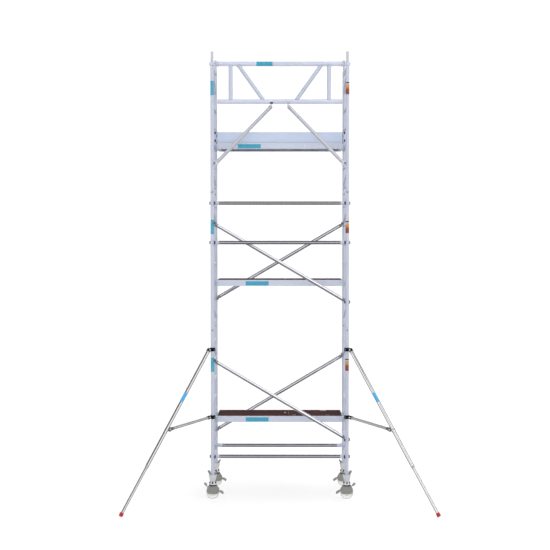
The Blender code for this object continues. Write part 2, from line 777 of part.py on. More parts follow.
def main():
    clear_scene()
    frame = material("anodised_frame", (0.66, 0.67, 0.78), 0.38, 0.7)
    tube = material("aluminium_tube", (0.62, 0.63, 0.66), 0.28, 0.9)
    beam = material("platform_aluminium", (0.64, 0.65, 0.78), 0.40, 0.7)
    ply = material("film_faced_plywood", (0.10, 0.045, 0.045), 0.55, 0.0)
    castor = {
        "steel": material("galvanised_steel", (0.42, 0.42, 0.40), 0.45, 0.9),
        "cast": material("cast_nut", (0.62, 0.62, 0.62), 0.50, 0.6),
        "fork": material("pressed_fork", (0.30, 0.30, 0.28), 0.50, 0.6),
        "wheel": material("nylon_wheel", (0.80, 0.80, 0.77), 0.45, 0.0),
    }
    stabiliser = {
        "tube": tube,
        "black": material("black_clamp", (0.01, 0.01, 0.012), 0.45, 0.0),
        "rubber": material("red_rubber", (0.60, 0.03, 0.02), 0.60, 0.0),
    }
    add_frames(frame)
    add_braces(tube)
    add_guardrail(frame)
    add_platforms(beam, ply)
    add_toe_boards(beam)
    add_castors(castor)
    add_stabilisers(stabiliser)


main()
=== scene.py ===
"""Looks of the mobile tower scaffold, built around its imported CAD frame. Metres, +Z up, -Y is
the front. Every piece stands where the frame's own boxes and joints say."""

import json
import math

import bmesh
import bpy
from mathutils import Matrix, Vector


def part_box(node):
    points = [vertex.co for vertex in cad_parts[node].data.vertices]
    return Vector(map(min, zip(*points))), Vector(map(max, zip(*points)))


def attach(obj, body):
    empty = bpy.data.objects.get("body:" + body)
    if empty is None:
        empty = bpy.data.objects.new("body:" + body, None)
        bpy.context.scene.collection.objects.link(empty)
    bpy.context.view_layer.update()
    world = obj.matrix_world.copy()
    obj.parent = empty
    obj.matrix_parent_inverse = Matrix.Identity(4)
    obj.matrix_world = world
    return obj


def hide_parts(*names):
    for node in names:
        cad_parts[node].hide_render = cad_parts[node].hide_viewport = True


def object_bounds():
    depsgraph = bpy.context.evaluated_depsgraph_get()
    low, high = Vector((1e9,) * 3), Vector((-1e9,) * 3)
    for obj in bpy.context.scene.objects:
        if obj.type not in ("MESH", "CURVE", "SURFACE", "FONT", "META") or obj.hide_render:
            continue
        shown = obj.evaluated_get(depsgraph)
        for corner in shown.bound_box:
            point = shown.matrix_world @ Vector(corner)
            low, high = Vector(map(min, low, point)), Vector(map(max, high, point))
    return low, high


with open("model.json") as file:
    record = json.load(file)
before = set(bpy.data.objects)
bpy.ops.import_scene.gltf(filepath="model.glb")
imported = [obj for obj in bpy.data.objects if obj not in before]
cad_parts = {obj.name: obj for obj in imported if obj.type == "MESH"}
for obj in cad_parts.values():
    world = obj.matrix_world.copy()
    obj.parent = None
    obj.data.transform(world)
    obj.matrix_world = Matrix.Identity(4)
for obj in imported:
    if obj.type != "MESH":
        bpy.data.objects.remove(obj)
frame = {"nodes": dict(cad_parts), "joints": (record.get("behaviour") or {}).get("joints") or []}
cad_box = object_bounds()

STOREYS = ("low", "mid", "top")
SIDES = (("left", -1), ("right", 1))
DEPTHS = (("front", -1), ("rear", 1))

# Ladder frames
POST_RADIUS = 0.0254
POST_RIBS = 18
POST_RIB_DEPTH = 0.0007
SPIGOT_RADIUS = 0.0205
SPIGOT_LENGTH = 0.159
RUNG_RADIUS = 0.0160
RUNG_RIBS = 12
RUNG_RIB_DEPTH = 0.0008
RUNG_COUNT = 7
RUNG_PITCH = 0.280
FIRST_RUNG = 0.230
STIFFENER_RADIUS = 0.0125
STIFFENER_MARGIN = 0.0395  # from a rung's axis to a stiffener's end
WELD_RADIUS = 0.0030
LOCK_HEIGHT = 0.132  # interlock clip above a frame's foot

# Braces
BRACE_RADIUS = 0.0250
PANEL_RADIUS = 0.0335
ARM_RADIUS = 0.0260
JAW_INNER = 0.0262
JAW_OUTER = 0.0425
JAW_HALF_HEIGHT = 0.0200
COLLAR_WALL = 0.0035
COLLAR_SPAN = (0.052, 0.096)  # from the post's axis
CLAW_END = 0.027  # from a brace's axis to the top of its collar
DIAGONAL_OFFSET = 0.0530  # of a diagonal behind the plane of the posts
DIAGONAL_END = 0.0460  # from the post's axis to the end of a diagonal's tube

# Guardrail panel and arms
PANEL_MID_HALF_LENGTH = 0.875
PANEL_UPRIGHT_X = 0.695
PANEL_STAY_TOP_X = 0.598
PANEL_STAY_LOW_X = 0.219
PANEL_BRACKET_DROP = 0.0835  # from the mid rail's axis to the foot of its brackets
ARM_TOP_X = 0.120
ARM_LOW_X = 0.895
ARM_END_RISE = 0.030  # an arm's top end lies this far below the top of its node

# Platforms
DECK_THICKNESS = 0.011
BEAM_DEPTH = 0.088
BEAM_WIDTH = 0.036
BEAM_WALL = 0.0035
END_BEAM_X = (0.858, 0.905)
HOOK_WIDTH = 0.040
HOOK_Y = 0.235
DECK_ABOVE_RUNG = 0.055
TOE_CLIP_HEIGHTS = (0.030, 0.139)
HATCH_GAP = 0.0025  # between the lid and its opening
HINGE_CLEARANCE = 0.0042  # from the hinge line to the lid's ply
HINGE_SHARES = (0.2, 0.8)  # of the lid's length
HINGE_SHIFTS = (-0.030, 0.0, 0.030)

# Castors and stabilisers
SPINDLE_RADIUS = 0.0190
THREAD_PITCH = 0.008
WHEEL_RADIUS = 0.0925
BRAKE_PIVOT_Z = 0.140
STABILISER_PIVOT_R = 0.066
FOOT_CENTRE_Z = 0.030
STABILISER_TUBE_LENGTH = 1.900
STABILISER_BORE = 0.0215
STABILISER_SADDLE = 1.320  # along the tube from its pivot, as are the next three
SNAP_BUTTON = 1.850
STABILISER_BAND = 0.790
INNER_TUBE_START = 1.250
KNUCKLE_DISTANCE = 0.062  # from the tube's axis to the strut's knuckle
FOOT_RADIUS = 0.0275
INNER_TUBE_RADIUS = 0.0195
INNER_TUBE_BORE = 0.0165
STRUT_RADIUS = 0.0210

POST_BAND_HEIGHT = 1.474  # foot of the colour band, above a frame's foot

SOFT_EDGE = math.radians(32)  # edges that turn less than this are shaded smooth
LAVENDER = (0.555, 0.585, 0.695)  # anodised aluminium
PALE_METAL = (0.84, 0.85, 0.90)

# Camera
CAMERA_DISTANCE = 17.69  # from the tower's axis
CAMERA_HEIGHT = 3.813
CAMERA_PITCH = math.radians(-2.016)
CAMERA_YAW = math.radians(0.227)
CAMERA_LENS = 79.44
FLOOR_REACH = 900.0
FLOOR_DROP = 0.0005  # keeps the floor clear of the faces that stand on it

SKYLIGHT_STRENGTH = 2.2
# Softboxes: name, place, size and power
SOFTBOXES = (
    ("key_right", (8.0, -7.0, 9.5), (5, 6), 120.0),
    ("back_right", (7.0, 10.0, 8.0), (5, 5), 80.0),
)

# Brightness of the studio's walls and floor, from straight down at 0 to straight up at 1
SURROUND = ((0.0, 0.20), (0.42, 0.28), (0.485, 0.60), (0.495, 1.12))
# Height at which the walls end, from far left at 0 to far right at 1
WALL_TOP = (
    (0.0, 0.61), (0.09, 0.62), (0.22, 0.75), (0.42, 0.75), (0.48, 0.665), (0.52, 0.665),
    (0.58, 0.80), (0.63, 0.97), (0.75, 0.97), (0.80, 0.62),
)

IDENTITY = Matrix.Identity(4)


# ---------------------------------------------------------------- shells: (points, faces)


def skin(rings, capped=True, looped=False):
    """Surface through rings of equal length, each closed on itself."""
    points = [point for ring in rings for point in ring]
    size = len(rings[0])
    rows = len(rings)
    faces = []
    for row in range(rows if looped else rows - 1):
        here = row * size
        there = (row + 1) % rows * size
        for step in range(size):
            after = (step + 1) % size
            faces.append((here + step, here + after, there + after, there + step))
    if capped and not looped:
        faces.append(tuple(reversed(range(size))))
        faces.append(tuple(range((rows - 1) * size, rows * size)))
    return points, faces


def arc(centre, radius, first, last, steps):
    """Points along an arc, from its first to its last angle in degrees."""
    points = []
    for step in range(steps + 1):
        angle = math.radians(first + (last - first) * step / steps)
        points.append((centre[0] + radius * math.cos(angle), centre[1] + radius * math.sin(angle)))
    return points


def circle(radius, sides=40):
    return arc((0.0, 0.0), radius, 0, 360 - 360 / sides, sides - 1)


def sector(inner, outer, first, last, steps):
    """Outline of part of a ring, from its first to its last angle in degrees."""
    centre = (0.0, 0.0)
    return arc(centre, outer, first, last, steps) + arc(centre, inner, last, first, steps)


def mirrored(half):
    """A (radius, height) profile and then its mirror image beyond z = 0."""
    return half + [(radius, -height) for radius, height in reversed(half)]


def ribbed(radius, ribs, depth):
    """Round outline with a shallow groove beside each rib."""
    outline = []
    sides = ribs * 6
    for step in range(sides):
        angle = 2 * math.pi * step / sides
        reach = radius - (depth if step % 6 in (2, 3, 4) else 0.0)
        outline.append((reach * math.cos(angle), reach * math.sin(angle)))
    return outline


def bar(start, end, outline, chamfer=0.001):
    """Straight bar of an outline between two points, with chamfered ends."""
    start = Vector(start)
    end = Vector(end)
    along = (end - start).normalized()
    turn = along.to_track_quat("Z", "Y").to_matrix()
    widest = max(math.hypot(u, v) for u, v in outline)
    shrink = 1 - chamfer / widest
    rings = []
    for place, scale in (
        (start, shrink), (start + along * chamfer, 1.0), (end - along * chamfer, 1.0),
        (end, shrink),
    ):
        rings.append([place + turn @ Vector((u * scale, v * scale, 0.0)) for u, v in outline])
    return skin(rings)


def pipe(start, end, radius, bore, sides=40):
    """Straight tube with an open bore."""
    start = Vector(start)
    end = Vector(end)
    turn = (end - start).to_track_quat("Z", "Y").to_matrix()
    rings = []
    for place, reach in ((start, radius), (end, radius), (end, bore), (start, bore)):
        rings.append([place + turn @ Vector((u, v, 0.0)) for u, v in circle(reach, sides)])
    return skin(rings, looped=True)


def wire(path, radius, sides=10, looped=False):
    """Round wire along a path of points."""
    path = [Vector(point) for point in path]
    count = len(path)
    rings = []
    side = None
    for index, place in enumerate(path):
        before = path[index - 1] if index or looped else place
        after = path[(index + 1) % count] if index + 1 < count or looped else place
        along = (after - before).normalized()
        if side is None:
            side = along.orthogonal()
        side = (side - along * side.dot(along)).normalized()
        up = along.cross(side)
        rings.append([place + side * u + up * v for u, v in circle(radius, sides)])
    return skin(rings, looped=looped)


def turned(profile, sides=40, looped=False):
    """Solid of revolution about Z through (radius, height) points."""
    rings = []
    for radius, height in profile:
        rings.append([Vector((u, v, height)) for u, v in circle(radius, sides)])
    return skin(rings, looped=looped)


def inset(outline, amount):
    """An outline drawn in by an amount, for chamfers. Works for outlines in either sense."""
    count = len(outline)
    area = 0.0
    for index, (x, y) in enumerate(outline):
        ahead = outline[(index + 1) % count]
        area += x * ahead[1] - ahead[0] * y
    sense = 1 if area > 0 else -1
    drawn = []
    for index in range(count):
        here = Vector(outline[index])
        into = (here - Vector(outline[index - 1])).normalized()
        away = (Vector(outline[(index + 1) % count]) - here).normalized()
        normal = Vector((-into.y - away.y, into.x + away.x)) * sense
        if normal.length < 1e-6:
            normal = Vector((-into.y, into.x)) * sense
        normal.normalize()
        first = Vector((-into.y, into.x)) * sense
        drawn.append(here + normal * amount / max(0.5, normal.dot(first)))
    return drawn


def plate(outline, low, high, along="Z", chamfer=0.0015):
    """An outline extruded between two depths, with a chamfer round both faces."""
    place = {
        "X": lambda u, v, depth: Vector((depth, u, v)),
        "Y": lambda u, v, depth: Vector((u, depth, v)),
        "Z": lambda u, v, depth: Vector((u, v, depth)),
    }[along]
    drawn = inset(outline, chamfer)
    layers = ((drawn, low), (outline, low + chamfer), (outline, high - chamfer), (drawn, high))
    return skin([[place(u, v, depth) for u, v in ring] for ring, depth in layers])


def rounded(left, right, bottom, top, radius, steps=4):
    """Rectangle with round corners."""
    corners = (
        ((right - radius, top - radius), 0), ((left + radius, top - radius), 90),
        ((left + radius, bottom + radius), 180), ((right - radius, bottom + radius), 270),
    )
    outline = []
    for centre, first in corners:
        outline += arc(centre, radius, first, first + 90, steps)
    return outline


def softened(corners, reach, steps=4):
    """Polygon with every corner rounded off, starting up to a reach from it."""
    outline = []
    count = len(corners)
    for index in range(count):
        corner = Vector(corners[index])
        before = Vector(corners[index - 1]) - corner
        after = Vector(corners[(index + 1) % count]) - corner
        length = min(reach, before.length * 0.45, after.length * 0.45)
        first = corner + before.normalized() * length
        last = corner + after.normalized() * length
        for step in range(steps + 1):
            share = step / steps
            near = first.lerp(corner, share)
            far = corner.lerp(last, share)
            outline.append(tuple(near.lerp(far, share)))
    return outline


def flipped(outline, side):
    return [(side * u, v) for u, v in outline]


def moved(x, y, z):
    return Matrix.Translation((x, y, z))


def spun(angle):
    return Matrix.Rotation(angle, 4, "Z")


def facing(side):
    """Mirrors a shell to -X where the side is -1."""
    return Matrix.Diagonal((side, 1.0, 1.0, 1.0))


def aimed(place, direction):
    """Matrix that stands a shell's Z axis along a direction at a place."""
    turn = Vector(direction).to_track_quat("Z", "Y").to_matrix().to_4x4()
    return Matrix.Translation(Vector(place)) @ turn


def bolt_head(size, height):
    """Hexagonal head with a chamfered crown and a washer under it."""
    washer = turned([(size * 1.35, 0.0), (size * 1.35, 0.0014), (size * 0.5, 0.0015)], 24)
    crown = [
        (size, 0.0014), (size, height * 0.8), (size * 0.86, height), (size * 0.3, height * 0.96),
    ]
    return washer, turned(crown, 6)


def rivet(radius):
    """Domed rivet head that stands on the plane z = 0."""
    profile = [
        (radius, -0.0004), (radius, radius * 0.15), (radius * 0.8, radius * 0.38),
        (radius * 0.45, radius * 0.5),
    ]
    return turned(profile, 14)


# ---------------------------------------------------------------- pieces


class Piece:
    """One visible piece: closed shells, each with the name of its finish, joined into one mesh."""

    def __init__(self):
        self.mesh = bmesh.new()
        self.finishes = []

    def slot_of(self, finish):
        if finish not in self.finishes:
            self.finishes.append(finish)
        return self.finishes.index(finish)

    def add(self, shell, finish, place=IDENTITY, cap_finish=None):
        """Adds a shell; its last two faces, the caps, may have a finish of their own."""
        points, faces = shell
        made = [self.mesh.verts.new(place @ Vector(point)) for point in points]
        for count, face in enumerate(faces):
            is_cap = cap_finish and count >= len(faces) - 2
            added = self.mesh.faces.new([made[corner] for corner in face])
            added.material_index = self.slot_of(cap_finish if is_cap else finish)

    def add_all(self, shells, finish, place=IDENTITY):
        for shell in shells:
            self.add(shell, finish, place)

    def ready(self, name):
        """The finished mesh, with outward normals and smooth shading across soft edges."""
        bmesh.ops.recalc_face_normals(self.mesh, faces=self.mesh.faces)
        mesh = bpy.data.meshes.new(name)
        self.mesh.to_mesh(mesh)
        self.mesh.free()
        for finish in self.finishes:
            mesh.materials.append(finishes[finish])
        mesh.shade_smooth()
        mesh.set_sharp_from_angle(angle=SOFT_EDGE)
        return mesh


def stand(name, mesh, body, nodes=(), place=IDENTITY):
    """Puts a piece in the scene on a CAD body, in place of some CAD nodes or beside them."""
    thing = bpy.data.objects.new(name, mesh)
    thing.matrix_world = place
    bpy.context.scene.collection.objects.link(thing)
    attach(thing, body)
    if nodes:
        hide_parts(*nodes)
    return thing


# ---------------------------------------------------------------- finishes


def add_node(tree, kind, inputs, **settings):
    """Adds a shader node; an input is linked where it is given a socket, and set otherwise."""
    made = tree.nodes.new(kind)
    for key, value in settings.items():
        setattr(made, key, value)
    for key, value in inputs.items():
        if isinstance(value, bpy.types.NodeSocket):
            tree.links.new(value, made.inputs[key])
        else:
            made.inputs[key].default_value = value
    return made


def map_range(tree, value, start, end, low, high):
    """A value taken from one range to another, clamped at both ends."""
    inputs = {"Value": value, "From Min": start, "From Max": end, "To Min": low, "To Max": high}
    return add_node(tree, "ShaderNodeMapRange", inputs).outputs["Result"]


def with_alpha(colour):
    return (*colour, 1.0) if isinstance(colour, tuple) else colour


class Shader:
    """A material and short names for the nodes that its finish is made of."""

    def __init__(self, name, colour, metallic, roughness, shine=0.5):
        self.material = bpy.data.materials.new(name)
        self.material.use_nodes = True
        self.tree = self.material.node_tree
        self.principled = self.tree.nodes["Principled BSDF"]
        self.principled.inputs["Base Color"].default_value = (*colour, 1.0)
        self.principled.inputs["Metallic"].default_value = metallic
        self.principled.inputs["Roughness"].default_value = roughness
        self.principled.inputs["Specular IOR Level"].default_value = shine
        self.coordinates = self.tree.nodes.new("ShaderNodeTexCoord").outputs["Object"]

    def node(self, kind, inputs, **settings):
        return add_node(self.tree, kind, inputs, **settings)

    def stretched(self, direction, factor):
        """Coordinates drawn out along a direction, for lines that follow a tube."""
        turn = Vector(direction).to_track_quat("Z", "Y").to_euler()
        inputs = {
            "Vector": self.coordinates,
            "Rotation": tuple(turn),
            "Scale": (1.0, 1.0, factor),
        }
        return self.node("ShaderNodeMapping", inputs, vector_type="TEXTURE").outputs["Vector"]

    def noise(self, scale, detail=3.0, vector=None, roughness=0.5):
        inputs = {
            "Vector": vector or self.coordinates,
            "Scale": scale,
            "Detail": detail,
            "Roughness": roughness,
        }
        return self.node("ShaderNodeTexNoise", inputs).outputs["Fac"]

    def ranged(self, value, low, high, start=0.0, end=1.0):
        return map_range(self.tree, value, start, end, low, high)

    def mix(self, share, first, second):
        """Colour between two colours or colour sockets."""
        inputs = {0: share, 6: with_alpha(first), 7: with_alpha(second)}
        return self.node("ShaderNodeMix", inputs, data_type="RGBA").outputs[2]

    def paint(self, colour):
        self.tree.links.new(colour, self.principled.inputs["Base Color"])

    def dull(self, roughness):
        self.tree.links.new(roughness, self.principled.inputs["Roughness"])

    def bump(self, height, distance, strength=1.0):
        inputs = {"Height": height, "Distance": distance, "Strength": strength}
        normal = self.node("ShaderNodeBump", inputs).outputs["Normal"]
        self.tree.links.new(normal, self.principled.inputs["Normal"])


def scaled(colour, factor):
    return tuple(min(1.0, channel * factor) for channel in colour)


def drawn_metal(name, colour, metallic, roughness, direction, contrast=0.10):
    """Extruded or drawn aluminium: fine lines along the tube, cloudy patches and light scuffs."""
    shader = Shader(name, colour, metallic, roughness)
    lines = shader.noise(700.0, 2.0, shader.stretched(direction, 90.0))
    clouds = shader.noise(5.0, 4.0)
    scuffs = shader.ranged(shader.noise(38.0, 6.0, roughness=0.7), 0.0, 1.0, 0.62, 0.74)
    toned = shader.mix(clouds, scaled(colour, 1 - contrast), scaled(colour, 1 + contrast))
    streaked = shader.mix(shader.ranged(lines, 0.0, 0.25), toned, scaled(colour, 0.85))
    shader.paint(shader.mix(shader.ranged(scuffs, 0.0, 0.4), streaked, scaled(colour, 1.12)))
    shader.dull(shader.ranged(clouds, roughness * 0.82, roughness * 1.2, 0.3, 0.7))
    shader.bump(lines, 0.00005, 0.4)
    return shader.material


def cast_metal(name, colour, metallic, roughness, grain=420.0):
    """Cast or plated metal with a fine grain and darker hollows."""
    shader = Shader(name, colour, metallic, roughness)
    fine = shader.noise(grain, 3.0)
    clouds = shader.noise(24.0, 5.0, roughness=0.6)
    toned = shader.mix(clouds, scaled(colour, 0.74), scaled(colour, 1.22))
    shader.paint(shader.mix(shader.ranged(fine, 0.0, 0.4, 0.35, 0.7), toned, scaled(colour, 0.8)))
    shader.dull(shader.ranged(clouds, roughness * 0.8, roughness * 1.25, 0.3, 0.7))
    shader.bump(fine, 0.0005, 0.5)
    return shader.material


def galvanised(name, colour):
    """Zinc-coated steel with its spangle."""
    shader = Shader(name, colour, 0.9, 0.42)
    inputs = {"Vector": shader.coordinates, "Scale": 130.0}
    spangle = shader.node("ShaderNodeTexVoronoi", inputs).outputs["Color"]
    tone = shader.node("ShaderNodeSeparateColor", {"Color": spangle}).outputs["Red"]
    clouds = shader.noise(18.0, 4.0)
    toned = shader.mix(tone, scaled(colour, 0.72), scaled(colour, 1.25))
    shader.paint(shader.mix(shader.ranged(clouds, 0.0, 0.5, 0.35, 0.75), toned, scaled(colour, 0.85)))
    shader.dull(shader.ranged(tone, 0.32, 0.55))
    shader.bump(clouds, 0.0006, 0.4)
    return shader.material


def moulded(name, colour, roughness, grain=900.0, wear=0.25, shine=0.5):
    """Plastic or rubber with a fine moulded grain and slightly faded patches."""
    shader = Shader(name, colour, 0.0, roughness, shine)
    fine = shader.noise(grain, 2.0)
    clouds = shader.noise(14.0, 5.0, roughness=0.65)
    faded = tuple(channel + (0.5 - channel) * wear for channel in colour)
    patches = shader.ranged(clouds, 0.0, 0.6, 0.45, 0.85)
    shader.paint(shader.mix(patches, colour, faded))
    shader.dull(shader.ranged(clouds, roughness * 0.85, min(1.0, roughness * 1.2), 0.3, 0.7))
    shader.bump(fine, 0.0003, 0.5)
    return shader.material


def film_ply(name, colour):
    """Film-faced plywood: a pressed wire-mesh grip pattern, dust and worn tracks."""
    shader = Shader(name, colour, 0.0, 0.5, 0.0)
    crossing = []
    for turn in (math.radians(45), math.radians(-45)):
        inputs = {"Vector": shader.coordinates, "Rotation": (0.0, 0.0, turn)}
        tilted = shader.node("ShaderNodeMapping", inputs).outputs["Vector"]
        bands = shader.node("ShaderNodeTexWave", {"Vector": tilted, "Scale": 45.0, "Distortion": 0.0})
        crossing.append(bands.outputs["Fac"])
    inputs = {0: crossing[0], 1: crossing[1]}
    mesh_print = shader.node("ShaderNodeMath", inputs, operation="MAXIMUM").outputs[0]
    ridge = shader.ranged(mesh_print, 0.0, 1.0, 0.75, 1.0)
    wear = shader.noise(3.2, 6.0, roughness=0.65)
    dust = shader.ranged(wear, 0.0, 0.55, 0.45, 0.8)
    printed = shader.mix(shader.ranged(ridge, 0.0, 0.5), colour, scaled(colour, 1.5))
    shader.paint(shader.mix(dust, printed, (0.115, 0.060, 0.056)))
    shader.dull(shader.ranged(wear, 0.42, 0.75, 0.3, 0.7))
    shader.bump(ridge, 0.0006, 0.6)
    return shader.material


def ply_edge(name):
    """Edge of plywood: thin layers of alternating grain."""
    shader = Shader(name, (0.45, 0.27, 0.14), 0.0, 0.7)
    inputs = {"Vector": shader.coordinates, "Scale": 100.0, "Distortion": 1.0, "Detail": 3.0}
    layers = shader.node("ShaderNodeTexWave", inputs, bands_direction="Z").outputs["Fac"]
    fibres = shader.noise(260.0, 4.0)
    layered = shader.mix(layers, (0.22, 0.11, 0.05), (0.52, 0.34, 0.18))
    shader.paint(shader.mix(shader.ranged(fibres, 0.0, 0.4), layered, (0.12, 0.06, 0.03)))
    shader.bump(fibres, 0.0004, 0.5)
    return shader.material


def band(name, colour, fade=None):
    """Printed vinyl: an even colour, or one that fades down the band, rubbed at its edges."""
    shader = Shader(name, colour, 0.0, 0.4)
    clouds = shader.noise(40.0, 5.0, roughness=0.7)
    base = shader.mix(shader.noise(9.0), scaled(colour, 0.94), scaled(colour, 1.06))
    if fade:
        inputs = {"Vector": shader.coordinates}
        height = shader.node("ShaderNodeSeparateXYZ", inputs).outputs["Z"]
        base = shader.mix(shader.ranged(height, 0.0, 1.0, 0.108, 0.150), fade, colour)
    rubbed = shader.ranged(clouds, 0.0, 0.5, 0.55, 0.85)
    shader.paint(shader.mix(rubbed, base, (0.50, 0.52, 0.56)))
    shader.dull(shader.ranged(clouds, 0.3, 0.55))
    shader.bump(clouds, 0.0001, 0.4)
    return shader.material


def make_finishes():
    across = (1, 0, 0)
    deep = (0, 1, 0)
    up = (0, 0, 1)
    return {
        "post": drawn_metal("post_aluminium", scaled(LAVENDER, 1.04), 0.18, 0.42, up),
        "rung": drawn_metal("rung_aluminium", LAVENDER, 0.4, 0.40, deep),
        "rail": drawn_metal("rail_aluminium", scaled(LAVENDER, 1.2), 0.2, 0.42, across),
        "arm": drawn_metal("arm_aluminium", (0.60, 0.62, 0.67), 0.35, 0.30, across, 0.06),
        "beam": drawn_metal("platform_extrusion", scaled(LAVENDER, 1.14), 0.25, 0.45, across),
        "board": drawn_metal("toe_board_extrusion", (0.60, 0.68, 0.85), 0.25, 0.45, across),
        "beam_deep": drawn_metal("platform_cross_extrusion", LAVENDER, 0.3, 0.45, deep),
        "brace": drawn_metal("brace_tube", scaled(PALE_METAL, 0.82), 1.0, 0.12, across, 0.04),
        "spigot": drawn_metal("spigot_tube", (0.60, 0.61, 0.68), 0.3, 0.40, up),
        "cast": cast_metal("cast_aluminium", (0.52, 0.53, 0.57), 0.5, 0.42),
        "claw": cast_metal("claw_casting", (0.66, 0.68, 0.86), 0.3, 0.38),
        # Dark grey; on the claws' tips this dark grey is painted shade on the post's far side.
        "lip": cast_metal("claw_lip", (0.25, 0.26, 0.29), 0.6, 0.40),
        "latch": cast_metal("latch_trigger", (0.060, 0.062, 0.110), 0.5, 0.45),
        "weld": cast_metal("weld_bead", (0.60, 0.61, 0.68), 0.8, 0.38, 700.0),
        "zinc": galvanised("galvanised_steel", (0.50, 0.50, 0.50)),
        "nut": cast_metal("zinc_plated_nut", (0.74, 0.75, 0.78), 0.25, 0.48),
        "wing": cast_metal("nut_wing", (0.30, 0.30, 0.31), 0.4, 0.48),
        "fork": cast_metal("pressed_fork_steel", (0.345, 0.345, 0.32), 0.4, 0.50, 600.0),
        "dark": cast_metal("blackened_steel", (0.030, 0.030, 0.034), 0.6, 0.45),
        "nylon": moulded("nylon_wheel", (0.84, 0.84, 0.81), 0.45, wear=0.1),
        "tread": moulded("wheel_tread", (0.68, 0.68, 0.66), 0.6, wear=0.2),
        "black": moulded("black_clamp", (0.004, 0.005, 0.008), 0.6, wear=0.01, shine=0.15),
        "rubber": moulded("red_rubber", (0.46, 0.020, 0.024), 0.6, wear=0.05),
        "ply": film_ply("film_faced_plywood", (0.056, 0.029, 0.029)),
        "ply_edge": ply_edge("plywood_edge"),
        "blue": band("blue_band", (0.035, 0.34, 0.49)),
        "aqua": band("pale_blue_band", (0.075, 0.36, 0.52)),
        "sky": band("sky_blue_band", (0.085, 0.38, 0.70)),
        "pale": band("pale_band", (0.54, 0.59, 0.69)),
        "warm": band("warm_band", (0.62, 0.31, 0.07), (0.25, 0.045, 0.045)),
    }


# ---------------------------------------------------------------- places in the frame


def middle(node):
    low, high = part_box(node)
    return (low + high) / 2


def joint(name):
    return next(item for item in frame["joints"] if item["name"] == name)


def post_places():
    """X of the left and right posts, and Y of the front and rear ones."""
    left_low, left_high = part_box("frame_left_low")
    right_low, right_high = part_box("frame_right_low")
    across = {"left": (left_low.x + left_high.x) / 2, "right": (right_low.x + right_high.x) / 2}
    deep = {"front": left_low.y + POST_RADIUS, "rear": left_high.y - POST_RADIUS}
    return across, deep


# ---------------------------------------------------------------- ladder frames


def weld(start, direction, radius, centre, axis, reach):
    """Bead round a bar where it first meets the surface of a tube of radius reach."""
    along = Vector(direction).normalized()
    axis = Vector(axis).normalized()
    side = along.orthogonal().normalized()
    other = along.cross(side)
    run = along - axis * along.dot(axis)
    square = run.dot(run)
    path = []
    for step in range(28):
        angle = 2 * math.pi * step / 28
        point = Vector(start) + (side * math.cos(angle) + other * math.sin(angle)) * radius
        offset = point - Vector(centre)
        offset -= axis * offset.dot(axis)
        half = offset.dot(run)
        root = math.sqrt(max(0.0, half * half - square * (offset.dot(offset) - reach * reach)))
        path.append(point - along * ((half + root) / square))
    return wire(path, WELD_RADIUS, 8, looped=True)


def ladder_frame(half_width, height):
    """Two ribbed posts, seven ribbed rungs and two slanted stiffeners, welded together."""
    piece = Piece()
    inside = half_width - POST_RADIUS * 0.8
    post_outline = ribbed(POST_RADIUS, POST_RIBS, POST_RIB_DEPTH)
    for side in (-1, 1):
        y = side * half_width
        piece.add(bar((0, y, 0), (0, y, height), post_outline), "post")
        spigot = [
            (SPIGOT_RADIUS, -0.002), (SPIGOT_RADIUS, SPIGOT_LENGTH - 0.012),
            (SPIGOT_RADIUS - 0.0015, SPIGOT_LENGTH - 0.005),
            (SPIGOT_RADIUS - 0.0045, SPIGOT_LENGTH - 0.0004),
            (SPIGOT_RADIUS - 0.0065, SPIGOT_LENGTH - 0.0004),
            (SPIGOT_RADIUS - 0.0075, SPIGOT_LENGTH - 0.006),
        ]
        piece.add(turned(spigot), "spigot", moved(0, y, height))
        for fall in (0.040, 0.085):
            for turn in (-1, 1):
                place = aimed((turn * (POST_RADIUS - 0.0005), y, height - fall), (turn, 0, 0))
                piece.add(rivet(0.0042), "spigot", place)
    rung_outline = ribbed(RUNG_RADIUS, RUNG_RIBS, RUNG_RIB_DEPTH)
    for step in range(RUNG_COUNT):
        z = FIRST_RUNG + step * RUNG_PITCH
        piece.add(bar((0, -inside, z), (0, inside, z), rung_outline), "rung")
        for side in (-1, 1):
            post = (0, side * half_width, 0)
            bead = weld((0, 0, z), (0, side, 0), RUNG_RADIUS, post, (0, 0, 1), POST_RADIUS)
            piece.add(bead, "weld")
    for bay in (0, RUNG_COUNT - 2):
        low = FIRST_RUNG + bay * RUNG_PITCH + STIFFENER_MARGIN
        high = FIRST_RUNG + (bay + 1) * RUNG_PITCH - STIFFENER_MARGIN
        start = Vector((0, -inside, high))
        end = Vector((0, inside, low))
        piece.add(bar(start, end, circle(STIFFENER_RADIUS, 32)), "rung")
        for side, along in ((-1, start - end), (1, end - start)):
            post = (0, side * half_width, 0)
            middle_of_bar = (start + end) / 2
            bead = weld(middle_of_bar, along, STIFFENER_RADIUS, post, (0, 0, 1), POST_RADIUS)
            piece.add(bead, "weld")
    return piece.ready("ladder_frame")


def interlock_clip():
    """Spring wire round a post, with the two studs that lock one frame to the next."""
    piece = Piece()
    ring = arc((0.0, 0.0), POST_RADIUS + 0.0014, -200, 20, 28)
    rise = 0.010
    path = []
    for index, (x, y) in enumerate(ring):
        path.append((x, y, rise * math.sin(math.pi * index / (len(ring) - 1))))
    piece.add(wire(path, 0.0016, 8), "zinc")
    for face in (-1, 1):
        stud = turned([(0.0072, -0.001), (0.0072, 0.0026), (0.0050, 0.0040)], 18)
        piece.add(stud, "dark", aimed((0, face * POST_RADIUS, 0), (0, face, 0)))
    tab = rounded(-0.009, 0.009, 0.022, 0.046, 0.004)
    outline = plate(tab, -POST_RADIUS - 0.0026, -POST_RADIUS - 0.0004, "Y", 0.0006)
    piece.add(outline, "spigot")
    return piece.ready("interlock_clip")


